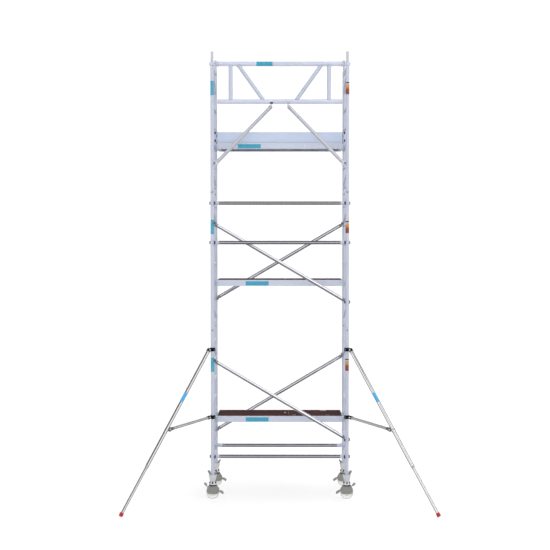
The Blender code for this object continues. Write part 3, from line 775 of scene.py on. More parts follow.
def build_frames():
    low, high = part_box("frame_left_low")
    half_width = (high.y - low.y) / 2 - POST_RADIUS
    height = high.z - low.z - SPIGOT_LENGTH
    mesh = ladder_frame(half_width, height)
    clip = interlock_clip()
    for side, _ in SIDES:
        for storey in STOREYS:
            node = f"frame_{side}_{storey}"
            place = middle(node)
            place.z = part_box(node)[0].z
            name = f"ladder_frame_{side}_{storey}"
            stand(name, mesh, "tower", [node], Matrix.Translation(place))
            if storey == "low":
                continue
            for depth, sign in DEPTHS:
                spot = place + Vector((0, sign * half_width, LOCK_HEIGHT))
                turn = spun(0.0 if sign < 0 else math.pi)
                name = f"interlock_clip_{depth}_{side}_{storey}"
                stand(name, clip, "tower", (), Matrix.Translation(spot) @ turn)


# ---------------------------------------------------------------- braces with claws
# A claw is drawn with its post at the origin, +X towards the tube and -Y to the front.


def jaw(piece, here, finish, tip=None, last=-112):
    """Hook round the front of the post; one with a tip goes on to a thicker lip on the far side. The
    tip's darker finish is painted shade.
    """
    outline = sector(JAW_INNER, JAW_OUTER, 32, last, 20)
    piece.add(plate(outline, -JAW_HALF_HEIGHT, JAW_HALF_HEIGHT, "Z", 0.0022), finish, here)
    if tip:
        outline = sector(JAW_INNER + 0.0002, JAW_OUTER + 0.0014, last + 2, -204, 12)
        reach = JAW_HALF_HEIGHT + 0.001
        piece.add(plate(outline, -reach, reach, "Z", 0.0022), tip, here)


def latch(piece, side, here, finish, half_height=0.0235):
    """Sprung trigger beside the post that shuts the claw."""
    outline = flipped(rounded(0.0262, 0.0425, -0.0525, -0.0240, 0.003), side)
    trigger = plate(outline, -half_height, half_height, "Z", 0.0015)
    piece.add(trigger, finish, here)
    button = turned([(0.0062, 0.0), (0.0062, 0.005), (0.0045, 0.0068)], 20)
    piece.add(button, finish, here @ aimed((side * 0.0345, -0.0515, 0.0), (0, -1, 0)))
    pin = turned([(0.0034, -0.0255), (0.0034, 0.0255)], 14)
    piece.add(pin, "zinc", here @ moved(side * 0.0400, -0.0140, 0.0))


def collar_rings(start, radius, length):
    """Casting that the tube's end is pressed into, with a lip and two crimps."""
    return [
        (radius - 0.0030, start), (radius, start + 0.003), (radius, start + length * 0.40),
        (radius - 0.0012, start + length * 0.45), (radius - 0.0012, start + length * 0.52),
        (radius, start + length * 0.57), (radius, start + length - 0.007),
        (radius + 0.0008, start + length - 0.005), (radius + 0.0008, start + length - 0.0015),
        (radius - 0.0015, start + length),
    ]


def straight_claw(piece, side, place, radius, looks):
    """Claw whose tube lies in the plane of the posts; side is +1 where the tube is on +X.
    Its looks are the finishes of the hook, of its tip, of the collar and of the latch."""
    hook, tip, collar, trigger = looks
    mirror = facing(side)
    here = Matrix.Translation(place)
    jaw(piece, here @ mirror, hook, tip, -127)
    neck = [(0.0250, -0.0215), (0.0420, -0.0245), (0.0600, -0.0245)]
    neck += [(0.0600, 0.0245), (0.0420, 0.0245), (0.0250, 0.0190)]
    piece.add(plate(neck, -0.0215, 0.0215, "Z", 0.0030), collar, here @ mirror)
    span = COLLAR_SPAN[1] - COLLAR_SPAN[0]
    rings = turned(collar_rings(COLLAR_SPAN[0], radius + COLLAR_WALL, span))
    piece.add(rings, collar, here @ aimed((0, 0, 0), (side, 0, 0)))
    latch(piece, side, here, trigger)


def cranked_claw(piece, side, place, fall, full_hook):
    """Claw of a diagonal, whose tube lies behind the post; fall is -1 where the tube goes down."""
    mirror = facing(side)
    here = Matrix.Translation(place)
    if full_hook:
        # The full hook's tip is dark grey, painted shade on the post's far side.
        jaw(piece, here @ mirror, "claw", "lip", -127)
    else:
        jaw(piece, here @ mirror, "claw", last=-38)
    cheek = rounded(0.0258, 0.0385, -0.0180, 0.0180, 0.004)
    piece.add(plate(cheek, -0.0240, 0.0320, "Y", 0.0020), "lip", here @ mirror)
    corners = [(0.0262, 0.0120), (0.0380, 0.0080), (0.0500, -0.0040), (0.0500, -0.0540)]
    corners += [(0.0370, -0.0500), (0.0262, -0.0280)]
    plug = softened([(x, -fall * z) for x, z in corners], 0.006)
    behind = (DIAGONAL_OFFSET - BRACE_RADIUS - 0.0005, DIAGONAL_OFFSET + BRACE_RADIUS)
    piece.add(plate(plug, *behind, "Y", 0.0035), "lip", here @ mirror)
    latch(piece, side, here, "latch", 0.0180)


def straight_brace(length):
    """Rail between two posts, centred on the origin."""
    piece = Piece()
    reach = length / 2 - COLLAR_SPAN[1] + 0.020
    piece.add(bar((-reach, 0, 0), (reach, 0, 0), circle(BRACE_RADIUS, 48)), "brace")
    for side in (-1, 1):
        # The tips are dark grey 'lip', painted shade on the post's far side.
        looks = ("claw", "lip", "claw", "latch")
        straight_claw(piece, -side, (side * length / 2, 0, 0), BRACE_RADIUS, looks)
    return piece.ready("straight_brace")


def diagonal_brace(length, left_z, right_z, finish):
    """Slanted tube behind two posts, with a short hook at its left end and a full one at its right."""
    piece = Piece()
    slope = (right_z - left_z) / length
    centre = (left_z + right_z) / 2
    reach = length / 2 - DIAGONAL_END
    ends = [
        Vector((side * reach, DIAGONAL_OFFSET, centre + slope * side * reach)) for side in (-1, 1)
    ]
    along = (ends[1] - ends[0]).normalized()
    piece.add(bar(ends[0], ends[1], circle(BRACE_RADIUS, 48)), finish)
    ferrule = turned(collar_rings(0.0, BRACE_RADIUS + 0.0010, 0.026))
    for side, z, end in ((-1, left_z, ends[0]), (1, right_z, ends[1])):
        piece.add(ferrule, "lip", aimed(end, along * -side))
        cranked_claw(piece, -side, (side * length / 2, 0, z), side, side > 0)
    return piece.ready("diagonal_brace")


def build_braces(across, deep):
    def between_posts(depth, height):
        place = moved(0, deep[depth], height)
        return place @ spun(math.pi) if depth == "rear" else place

    length = across["right"] - across["left"]
    mesh = straight_brace(length)
    for node, depth in (
        ("horizontal_front", "front"), ("horizontal_rear", "rear"), ("guard_rail_knee", "front"),
        ("guard_rail_hand", "front"),
    ):
        place = between_posts(depth, middle(node).z)
        stand(f"{node}_brace", mesh, "tower", [node], place)
    for storey in ("low", "mid"):
        low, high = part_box(f"diagonal_{storey}_front")
        heights = (high.z - CLAW_END, low.z + CLAW_END)
        slope = (1, 0, (heights[1] - heights[0]) / length)
        finish = f"diagonal_tube_{storey}"
        finishes[finish] = drawn_metal(finish, PALE_METAL, 1.0, 0.15, slope, 0.06)
        mesh = diagonal_brace(length, *heights, finish)
        for depth, _ in DEPTHS:
            node = f"diagonal_{storey}_{depth}"
            place = between_posts(depth, 0)
            stand(f"{node}_brace", mesh, "tower", [node], place)


# ---------------------------------------------------------------- guardrail panel and its arms


def rail_bracket(piece, side, z):
    """Lug under the mid rail that an arm hangs from, with its bolt and the catch in front."""
    outline = rounded(0.1060, 0.1340, z - PANEL_RADIUS - 0.058, z - PANEL_RADIUS + 0.008, 0.006)
    piece.add(plate(flipped(outline, side), -0.0300, 0.0300, "Y", 0.0020), "rail")
    catch = "latch" if side < 0 else "cast"
    outline = rounded(0.0980, 0.1380, z - PANEL_RADIUS - 0.003, z - PANEL_RADIUS + 0.021, 0.004)
    piece.add(plate(flipped(outline, side), -0.0365, -0.0275, "Y", 0.0015), catch)
    for turn in (-1, 1):
        spot = aimed((side * ARM_TOP_X, turn * 0.0298, z - PANEL_RADIUS - 0.042), (0, turn, 0))
        piece.add_all(bolt_head(0.0080, 0.0065), "zinc", spot)


def guardrail_panel(length, top, mid):
    """Welded panel of two rails, two uprights and two stays, with a claw at either end."""
    piece = Piece()
    reach = length / 2 - COLLAR_SPAN[1] + 0.020
    piece.add(bar((-reach, 0, top), (reach, 0, top), circle(PANEL_RADIUS, 48)), "rail")
    half = PANEL_MID_HALF_LENGTH
    piece.add(bar((-half, 0, mid), (half, 0, mid), circle(PANEL_RADIUS, 48)), "rail")
    rails = ((top, 1), (mid, -1))
    for side in (-1, 1):
        upright = (Vector((side * PANEL_UPRIGHT_X, 0, mid)), Vector((side * PANEL_UPRIGHT_X, 0, top)))
        stay = (Vector((side * PANEL_STAY_LOW_X, 0, mid)), Vector((side * PANEL_STAY_TOP_X, 0, top)))
        for (low, high), radius in ((upright, PANEL_RADIUS - 0.003), (stay, PANEL_RADIUS - 0.005)):
            piece.add(bar(low, high, circle(radius, 44)), "post")
            centre = (low + high) / 2
            for z, sense in rails:
                along = (high - low) * sense
                bead = weld(centre, along, radius, (0, 0, z), (1, 0, 0), PANEL_RADIUS)
                piece.add(bead, "weld")
        cap = [(PANEL_RADIUS - 0.001, -0.002), (PANEL_RADIUS, 0.002), (PANEL_RADIUS - 0.006, 0.006)]
        plug = turned(cap)
        piece.add(plug, "cast", aimed((side * half, 0, mid), (side, 0, 0)))
        looks = ("rail", "rail", "post", "rail")
        straight_claw(piece, -side, (side * length / 2, 0, top), PANEL_RADIUS, looks)
        rail_bracket(piece, side, mid)
    return piece.ready("guardrail_panel")


def guardrail_arm(side, length, top, low_z):
    """Slanted arm with a round socket at its top end and a claw on the post."""
    piece = Piece()
    start = Vector((side * ARM_TOP_X, 0, top))
    end = Vector((side * ARM_LOW_X, 0, low_z + 0.010))
    along = (end - start).normalized()
    piece.add(bar(start + along * 0.006, end, circle(ARM_RADIUS, 44)), "arm")
    socket = turned(collar_rings(-0.002, ARM_RADIUS + 0.002, 0.040))
    piece.add(socket, "cast", aimed(start, along))
    here = moved(side * length / 2, 0, low_z)
    mirror = facing(-side)
    jaw(piece, here @ mirror, "post")
    neck = softened([(0.025, -0.0245), (0.088, -0.0245), (0.088, 0.0245), (0.025, 0.0225)], 0.006)
    piece.add(plate(neck, -0.0250, 0.0250, "Z", 0.0035), "rail", here @ mirror)
    latch(piece, -side, here, "lip", 0.0180)
    return piece.ready("guardrail_arm")


def build_guardrail(across, deep):
    length = across["right"] - across["left"]
    low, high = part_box("guardrail_panel")
    top = high.z - PANEL_RADIUS
    mid = low.z + PANEL_BRACKET_DROP
    front = moved(0, deep["front"], 0)
    panel = guardrail_panel(length, top, mid)
    stand("advance_guardrail_panel", panel, "tower", ["guardrail_panel"], front)
    for side, sign in SIDES:
        node = f"guardrail_arm_{side}"
        low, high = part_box(node)
        arm = guardrail_arm(sign, length, high.z - ARM_END_RISE, low.z + CLAW_END)
        stand(f"{node}_tube", arm, "tower", [node], front)


# ---------------------------------------------------------------- platforms and toe boards
# Each platform is drawn with the middle of its deck's top face at the origin.


def side_beam(side, outer):
    """Open channel with a lip beside the deck, two flanges and grooves along its web."""
    inner = outer - BEAM_WIDTH
    web = outer - BEAM_WALL
    shelf = -DECK_THICKNESS - 0.0005
    outline = [(inner, -BEAM_DEPTH), (outer - 0.004, -BEAM_DEPTH), (outer, -BEAM_DEPTH + 0.004)]
    for z in (-0.070, -0.050, -0.030):
        outline += [(outer, z - 0.0028), (outer - 0.0012, z - 0.0014)]
        outline += [(outer - 0.0012, z + 0.0014), (outer, z + 0.0028)]
    outline += [(outer, -0.001), (outer - 0.001, 0.0), (web + 0.0002, 0.0), (web + 0.0002, shelf)]
    outline += [(inner, shelf), (inner, shelf - 0.0032), (web - 0.001, shelf - 0.0032)]
    outline += [(web - 0.001, -BEAM_DEPTH + 0.0035), (inner + 0.0035, -BEAM_DEPTH + 0.0035)]
    outline += [(inner + 0.0035, -BEAM_DEPTH + 0.012), (inner, -BEAM_DEPTH + 0.012)]
    return flipped(outline, side)


def rung_hook(piece, side_x, side_y, half_length):
    """Cast hook over a rung, with the dark catch that stops the wind lifting it off."""
    centre = (half_length, -DECK_ABOVE_RUNG)
    outline = [(END_BEAM_X[0] + 0.018, -0.079), (END_BEAM_X[0] + 0.018, -0.020)]
    outline += arc(centre, RUNG_RADIUS + 0.0135, 92, -24, 14)
    outline += arc(centre, RUNG_RADIUS + 0.0010, -24, 204, 24)
    low = side_y * HOOK_Y - HOOK_WIDTH / 2
    hook = plate(flipped(outline, side_x), low, low + HOOK_WIDTH, "Y", 0.0020)
    piece.add(hook, "beam_deep")
    catch = softened(
        [
            (half_length - 0.040, -0.070), (half_length + 0.004, -0.0745),
            (half_length + 0.012, -0.0800), (half_length - 0.004, -0.0860),
            (half_length - 0.044, -0.0840),
        ],
        0.004,
    )
    edge = side_y * (HOOK_Y + HOOK_WIDTH / 2)
    sides = sorted((edge + side_y * 0.0006, edge + side_y * 0.0056))
    piece.add(plate(flipped(catch, side_x), *sides, "Y", 0.0008), "cast")
    pivot = aimed((side_x * (half_length - 0.036), edge + side_y * 0.0050, -0.077), (0, side_y, 0))
    piece.add(rivet(0.0050), "zinc", pivot)


def platform_frame(outer, half_deck, half_length, hatch):
    """Side beams, end beams, the cross beams beside the hatch, and four hooks."""
    piece = Piece()
    for side in (-1, 1):
        outline = side_beam(side, outer)
        piece.add(plate(outline, -half_deck, half_deck, "X", 0.0003), "beam")
    reach = outer - BEAM_WALL - 0.001
    top = -DECK_THICKNESS - 0.0007
    for side in (-1, 1):
        ends = sorted(side * x for x in END_BEAM_X)
        outline = rounded(*ends, -0.084, top, 0.003)
        piece.add(plate(outline, -reach, reach, "Y", 0.0004), "beam_deep")
    for x in hatch:
        outline = rounded(x - 0.020, x + 0.020, -0.055, top, 0.003)
        piece.add(plate(outline, -reach, reach, "Y", 0.0004), "beam_deep")
    for side_x in (-1, 1):
        for side_y in (-1, 1):
            rung_hook(piece, side_x, side_y, half_length)
            for z in (-0.040, -0.060):
                spot = (side_x * (half_deck - 0.014), side_y * (outer - 0.0004), z)
                piece.add(rivet(0.0045), "spigot", aimed(spot, (0, side_y, 0)))
    for x in hatch:
        for side_y in (-1, 1):
            spot = aimed((x, side_y * (outer - 0.0004), -0.040), (0, side_y, 0))
            piece.add(rivet(0.0040), "spigot", spot)
    return piece.ready("platform_frame")


def deck_fixings(half_deck, half_width, hatch, hatch_half):
    """Rivets along the deck's edges, hinge leaves on its side, and a steel keeper."""
    piece = Piece()
    count = 9
    for side in (-1, 1):
        for step in range(count):
            x = (half_deck - 0.03) * (2 * step / (count - 1) - 1)
            spot = moved(x, side * (half_width - 0.014), 0)
            piece.add(rivet(0.0045), "lip", spot)
    for share in HINGE_SHARES:
        x = hatch[0] + (hatch[1] - hatch[0]) * share
        leaf = rounded(x - 0.045, x + 0.045, hatch_half + 0.0022, hatch_half + 0.028, 0.004)
        piece.add(plate(leaf, 0.0001, 0.0016, "Z", 0.0004), "zinc")
        for shift in HINGE_SHIFTS:
            spot = moved(x + shift, hatch_half + 0.016, 0.0015)
            piece.add(rivet(0.0035), "zinc", spot)
        knuckle = turned(hinge_barrel(0.0120), 16)
        piece.add(knuckle, "zinc", aimed((x, hatch_half - HATCH_GAP, 0.0002), (1, 0, 0)))
    keeper = rounded(hatch[0] - 0.068, hatch[0] - 0.036, -0.016, 0.016, 0.004)
    piece.add(plate(keeper, 0.0001, 0.0020, "Z", 0.0005), "zinc")
    stop = rounded(hatch[0] - 0.060, hatch[0] - 0.044, 0.001, 0.012, 0.003)
    piece.add(plate(stop, -0.010, 0.010, "Y", 0.0008), "spigot")
    return piece.ready("deck_fixings")


def hinge_barrel(half):
    """Profile of a rolled hinge part that reaches half its length to either side."""
    return mirrored([(0.0032, -half), (0.0036, 0.0005 - half)])


def hatch_lid(length, width):
    """Ply lid just in front of its hinge line, with a grip notch, hinge leaves and two knobs."""
    piece = Piece()
    middle_x = length / 2
    outline = softened(
        [
            (0.0, -HINGE_CLEARANCE), (0.0, -width), (middle_x - 0.062, -width),
            (middle_x - 0.048, -width + 0.026), (middle_x + 0.048, -width + 0.026),
            (middle_x + 0.062, -width), (length, -width), (length, -HINGE_CLEARANCE),
        ],
        0.010,
    )
    lid = plate(outline, -DECK_THICKNESS, -0.0002, "Z", 0.0008)
    piece.add(lid, "ply_edge", cap_finish="ply")
    for share in HINGE_SHARES:
        x = length * share
        leaf = rounded(x - 0.045, x + 0.045, -0.030, -HINGE_CLEARANCE, 0.004)
        piece.add(plate(leaf, -0.0002, 0.0014, "Z", 0.0004), "zinc")
        for shift in HINGE_SHIFTS:
            piece.add(rivet(0.0035), "zinc", moved(x + shift, -0.017, 0.0012))
        barrel = turned(hinge_barrel(0.0145), 16)
        for shift in (HINGE_SHIFTS[0], HINGE_SHIFTS[-1]):
            piece.add(barrel, "zinc", aimed((x + shift, 0.0, 0.0002), (1, 0, 0)))
    for share in (0.12, 0.88):
        x = length * share
        base = rounded(x - 0.022, x + 0.022, -width + 0.010, -width + 0.044, 0.005)
        piece.add(plate(base, -0.0002, 0.0016, "Z", 0.0004), "zinc")
        knob = [(0.0105, 0.0), (0.0105, 0.0030), (0.0085, 0.0046), (0.0030, 0.0050)]
        piece.add(turned(knob, 24), "dark", moved(x, -width + 0.027, 0.0014))
    return piece.ready("hatch_lid")


def build_platforms():
    deck_low, deck_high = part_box("deck_low")
    hatch_low, hatch_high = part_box("hatch_low")
    centre = (deck_low + deck_high) / 2
    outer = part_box("platform_frame_low")[1].y - centre.y
    half_deck = deck_high.x
    half_width = deck_high.y - centre.y
    half_length = middle("frame_right_low").x
    hatch = (hatch_low.x - HATCH_GAP, hatch_high.x + HATCH_GAP)
    hatch_half = hatch_high.y - centre.y + HATCH_GAP
    frame_mesh = platform_frame(outer, half_deck, half_length, hatch)
    fixings = deck_fixings(half_deck, half_width, hatch, hatch_half)
    lid = hatch_lid(hatch_high.x - hatch_low.x, hatch_high.y - hatch_low.y)
    for storey in STOREYS:
        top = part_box(f"deck_{storey}")[1].z
        place = moved(centre.x, centre.y, top)
        node = f"platform_frame_{storey}"
        stand(f"platform_beams_{storey}", frame_mesh, "tower", [node], place)
        stand(f"deck_fixings_{storey}", fixings, "tower", (), place)
        corner = moved(hatch_low.x, hatch_high.y, top)
        node = f"hatch_{storey}"
        stand(f"hatch_lid_{storey}", lid, f"hatch_lid_{storey}", [node], corner)
        deck = frame["nodes"][f"deck_{storey}"]
        deck.data.materials.clear()
        deck.data.materials.append(finishes["ply"])


def toe_board_outline(thickness, height):
    """Hollow-look extrusion with grooves along both faces, its bottom at z = 0."""
    outline = [(0.0, 0.003), (0.003, 0.0), (thickness - 0.003, 0.0), (thickness, 0.003)]
    grooves = (height * 0.2, height * 0.5, height * 0.8)
    for z in grooves:
        outline += [(thickness, z - 0.004), (thickness - 0.0015, z - 0.002)]
        outline += [(thickness - 0.0015, z + 0.002), (thickness, z + 0.004)]
    outline += [(thickness, height - 0.004), (thickness - 0.004, height)]
    outline += [(0.004, height), (0.0, height - 0.004)]
    for z in reversed(grooves):
        outline += [(0.0, z + 0.004), (0.0015, z + 0.002), (0.0015, z - 0.002), (0.0, z - 0.004)]
    return outline


def toe_board(length, thickness, height, clips):
    """Board along X with black end caps and, on the long ones, clips to the posts."""
    piece = Piece()
    half = length / 2
    outline = toe_board_outline(thickness, height)
    piece.add(plate(outline, -half + 0.003, half - 0.003, "X", 0.0004), "board")
    for side in (-1, 1):
        ends = sorted((side * half, side * (half - 0.0045)))
        cap = rounded(-0.0008, thickness + 0.0008, 0.0006, height - 0.0008, 0.004)
        piece.add(plate(cap, *ends, "X", 0.0008), "black")
        if not clips:
            continue
        for z in TOE_CLIP_HEIGHTS:
            arm = rounded(half - 0.004, half + 0.020, z - 0.009, z + 0.009, 0.003)
            reach = (thickness * 0.30, thickness * 0.70)
            piece.add(plate(flipped(arm, side), *reach, "Y", 0.0010), "beam")
            hook = rounded(half + 0.014, half + 0.036, z - 0.017, z + 0.019, 0.006)
            reach = (thickness * 0.12, thickness * 0.88)
            piece.add(plate(flipped(hook, side), *reach, "Y", 0.0020), "latch")
    return piece.ready("toe_board")


def build_toe_boards():
    for node, along_x in (
        ("toe_board_front", True), ("toe_board_rear", True), ("toe_board_left", False),
        ("toe_board_right", False),
    ):
        low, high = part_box(node)
        size = high - low
        length, thickness = (size.x, size.y) if along_x else (size.y, size.x)
        mesh = toe_board(length, thickness, size.z, along_x)
        place = moved((low.x + high.x) / 2, low.y, low.z)
        if not along_x:
            corner = moved(high.x, (low.y + high.y) / 2, low.z)
            place = corner @ spun(math.pi / 2)
        stand(f"{node}_profile", mesh, "tower", [node], place)


# ---------------------------------------------------------------- castors
# Each is drawn about its own swivel axis, with the ground at z = 0 and the cheeks' long side
# to +X, which is the inner side of the tower.


def threaded_rod(low, high, radius, depth):
    """Rod with one helical thread."""
    steps = 5
    sides = 24
    rows = int((high - low) / THREAD_PITCH * steps)
    rings = []
    for row in range(rows + 1):
        z = low + (high - low) * row / rows
        ring = []
        for step in range(sides):
            phase = (z / THREAD_PITCH - step / sides) % 1.0
            reach = radius - depth * min(1.0, abs(2 * phase - 1) * 1.6)
            angle = 2 * math.pi * step / sides
            ring.append(Vector((reach * math.cos(angle), reach * math.sin(angle), z)))
        rings.append(ring)
    return skin(rings)


def castor_spindle(race, dome_top, top):
    """Swivel housing with its bolts and dust ring, and the threaded spindle that stands on it."""
    piece = Piece()
    ring = [
        (0.0530, race + 0.0005), (0.0560, race + 0.0020), (0.0560, race + 0.0130),
        (0.0535, race + 0.0155), (0.0300, race + 0.0160),
    ]
    piece.add(turned([(0.0300, race)] + ring, 56), "dark")
    housing = [
        (0.0300, race + 0.0155), (0.0505, race + 0.0155), (0.0505, race + 0.0260),
        (0.0495, race + 0.0400), (0.0460, race + 0.0480), (0.0390, dome_top - 0.0030),
        (0.0340, dome_top), (0.0180, dome_top),
    ]
    piece.add(turned(housing, 56), "nut")
    # The housing's bolt heads are blackened; their black is partly painted shade for the dark shadows
    # round these bolts.
    for step in range(6):
        angle = math.radians(30 + 60 * step)
        direction = (math.cos(angle), math.sin(angle), 0.60)
        spot = (0.0445 * math.cos(angle), 0.0445 * math.sin(angle), race + 0.0450)
        piece.add_all(bolt_head(0.0105, 0.0085), "dark", aimed(spot, direction))
    piece.add(threaded_rod(dome_top - 0.002, top - 0.010, SPINDLE_RADIUS, 0.0022), "zinc")
    nose = [(SPINDLE_RADIUS - 0.0022, -0.012), (SPINDLE_RADIUS - 0.0035, 0.0)]
    piece.add(turned(nose, 24), "zinc", moved(0, 0, top))
    return piece.ready("castor_spindle")


def adjusting_nut(low, seat, rim):
    """Cast cup that the post stands in, with ribs below and two raised handles."""
    piece = Piece()
    cup = [
        (SPINDLE_RADIUS + 0.0010, low + 0.002), (SPINDLE_RADIUS + 0.0030, low), (0.0340, low),
        (0.0362, low + 0.003), (0.0375, low + 0.012), (0.0410, low + 0.018), (0.0550, rim - 0.018),
        (0.0575, rim - 0.012), (0.0580, rim - 0.003), (0.0560, rim), (0.0490, rim),
        (0.0470, rim - 0.003), (0.0300, seat + 0.001), (0.0280, seat),
        (SPINDLE_RADIUS + 0.0010, seat),
    ]
    piece.add(turned(cup, 56, looped=True), "nut")
    rib = [(0.0340, low + 0.004), (0.0400, low + 0.006), (0.0565, rim - 0.020), (0.0500, rim - 0.010)]
    for step in range(8):
        turn = spun(math.radians(22.5 + 45 * step))
        piece.add(plate(rib, -0.0022, 0.0022, "Y", 0.0008), "nut", turn)
    handle = softened(
        [
            (0.0285, rim - 0.004), (0.0440, rim - 0.004), (0.0660, rim + 0.032),
            (0.0720, rim + 0.048), (0.0620, rim + 0.0535), (0.0285, rim + 0.026),
        ],
        0.006,
    )
    for side in (-1, 1):
        shell = plate(flipped(handle, side), -0.0080, 0.0080, "Y", 0.0025)
        piece.add(shell, "wing")
    return piece.ready("adjusting_nut")


def castor_fork(crown, axle):
    """Pressed swivel fork: crown plate, two cheeks with rolled edges, axle and pivot bolts."""
    piece = Piece()
    cheek = softened(
        [
            (-0.058, crown[1]), (0.058, crown[1]), (0.091, 0.141), (0.087, 0.104), (0.062, 0.079),
            (-0.058, 0.079), (-0.085, 0.104), (-0.089, 0.141),
        ],
        0.012,
    )
    boss = [(0.018, 0.0), (0.018, 0.0016), (0.0165, 0.0024), (0.006, 0.0024)]
    for side in (-1, 1):
        faces = sorted((side * 0.0305, side * 0.0352))
        piece.add(plate(cheek, *faces, "Y", 0.0010), "fork")
        edge = [(x, side * 0.0352, z) for x, z in inset(cheek, 0.0040)]
        piece.add(wire(edge, 0.0020, 8, looped=True), "fork")
        place = aimed((0, side * 0.0348, axle), (0, side, 0))
        piece.add(turned(boss, 32), "fork", place)
        hub = aimed((0, side * 0.0366, axle), (0, side, 0))
        piece.add_all(bolt_head(0.0110, 0.0090), "fork", hub)
        pivot = aimed((0, side * 0.0350, BRAKE_PIVOT_Z), (0, side, 0))
        piece.add_all(bolt_head(0.0065, 0.0055), "fork", pivot)
        stiffener = [(x, side * 0.0352, z) for x, z in arc((0.0, axle), 0.0340, -160, -20, 16)]
        piece.add(wire(stiffener, 0.0018, 8), "fork")
    top = softened([(-0.057, -0.033), (0.055, -0.033), (0.055, 0.033), (-0.057, 0.033)], 0.008)
    piece.add(plate(top, *crown, "Z", 0.0010), "fork")
    skirt = [
        (0.0530, crown[1] - 0.0125), (0.0555, crown[1] - 0.0115), (0.0555, crown[1] - 0.0005),
        (0.0530, crown[1] - 0.0005),
    ]
    piece.add(turned(skirt, 56, looped=True), "wing")
    shaft = turned([(0.0080, -0.036), (0.0080, 0.036)], 24)
    piece.add(shaft, "zinc", aimed((0, 0, axle), (0, 1, 0)))
    return piece.ready("castor_fork")


def castor_wheel():
    """Wheel about its own axle, along Y: hub, ribbed web, rim and tread."""
    piece = Piece()
    half = [
        (0.0105, 0.0235), (0.0200, 0.0235), (0.0215, 0.0215), (0.0230, 0.0120), (0.0260, 0.0095),
        (0.0610, 0.0080), (0.0645, 0.0100), (0.0665, 0.0175), (0.0690, 0.0195), (0.0745, 0.0195),
    ]
    upright = aimed((0, 0, 0), (0, 1, 0))
    piece.add(turned(mirrored(half), 64, looped=True), "nylon", upright)
    tread = [
        (0.0740, 0.0195), (0.0800, 0.0205), (0.0865, 0.0195), (0.0905, 0.0165), (0.0920, 0.0110),
        (WHEEL_RADIUS, 0.0),
    ]
    ring = tread + [(radius, -y) for radius, y in reversed(tread[:-1])]
    piece.add(turned(ring, 72, looped=True), "tread", upright)
    outline = [(y, x) for x, y in rounded(0.0220, 0.0650, -0.0165, 0.0165, 0.003)]
    rib = plate(outline, -0.0016, 0.0016, "X", 0.0006)
    stand_up = Matrix.Rotation(math.pi / 2, 4, "Y")
    for step in range(8):
        turn = Matrix.Rotation(math.radians(45 * step), 4, "Y")
        piece.add(rib, "nylon", turn @ stand_up)
    return piece.ready("castor_wheel")


def brake_rocker():
    """Rocker about its pivot: a pressed arm beside the wheel, with a ribbed pedal at both ends."""
    piece = Piece()
    arm = softened(
        [
            (-0.128, 0.092), (-0.118, 0.078), (-0.066, 0.022), (-0.012, -0.016), (0.018, -0.018),
            (0.078, -0.026), (0.150, -0.062), (0.156, -0.048), (0.088, -0.004), (0.014, 0.016),
            (-0.016, 0.016), (-0.060, 0.040),
        ],
        0.006,
    )
    piece.add(plate(arm, -0.0285, -0.0245, "Y", 0.0010), "fork")
    pedals = (
        [(-0.128, 0.088), (-0.120, 0.072), (-0.090, 0.050), (-0.075, 0.062), (-0.108, 0.097)],
        [(0.098, -0.034), (0.146, -0.065), (0.157, -0.048), (0.150, -0.034), (0.106, -0.010)],
    )
    for outline in pedals:
        piece.add(plate(softened(outline, 0.006), -0.034, 0.030, "Y", 0.0025), "fork")
    for start, end in (((-0.104, 0.0925), (-0.079, 0.0665)), ((0.112, -0.0135), (0.146, -0.0315))):
        for step in range(4):
            share = (step + 0.5) / 4
            x = start[0] + (end[0] - start[0]) * share
            z = start[1] + (end[1] - start[1]) * share
            piece.add(wire([(x, -0.029, z), (x, 0.025, z)], 0.0016, 8), "fork")
    hub = turned([(0.0110, 0.0), (0.0110, 0.0010), (0.0060, 0.0014)], 24)
    piece.add(hub, "fork", aimed((0, -0.0283, 0), (0, -1, 0)))
    return piece.ready("brake_rocker")


def build_castors(across, deep):
    spindle_low, spindle_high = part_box("spindle_front_left")
    nut_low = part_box("adjusting_nut_front_left")[0]
    fork_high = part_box("castor_fork_front_left")[1]
    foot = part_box("frame_left_low")[0].z
    axle = joint("wheel_spin_front_left")["pos_m"][2]
    dome_top = nut_low.z - 0.0008
    crown = (fork_high.z - 0.0055, fork_high.z)
    spindle = castor_spindle(spindle_low.z, dome_top, spindle_high.z)
    nut = adjusting_nut(nut_low.z, foot - 0.0005, foot + 0.024)
    # CAD node, piece, body, slot, mesh and height
    castor = (
        ("spindle", "threaded_spindle", "leg", "galvanised_steel", spindle, 0.0),
        ("adjusting_nut", "winged_nut", "nut", "cast_nut", nut, 0.0),
        ("castor_fork", "swivel_fork", "fork", "pressed_fork", castor_fork(crown, axle), 0.0),
        ("castor_wheel", "rolling_wheel", "wheel", "nylon_wheel", castor_wheel(), axle),
        ("brake_rocker", "brake_pedal", "brake", "pressed_fork", brake_rocker(), BRAKE_PIVOT_Z),
    )
    for depth, _ in DEPTHS:
        for side, _ in SIDES:
            corner = f"{depth}_{side}"
            turn = spun(0.0 if side == "left" else math.pi)
            for node, name, body, slot, mesh, height in castor:
                place = moved(across[side], deep[depth], height) @ turn
                stand(f"{name}_{corner}", mesh, f"{body}_{corner}", [f"{node}_{corner}"], place)


# ---------------------------------------------------------------- stabilisers
# Each is drawn along its own +X, away from the post, and turned into place about the post.


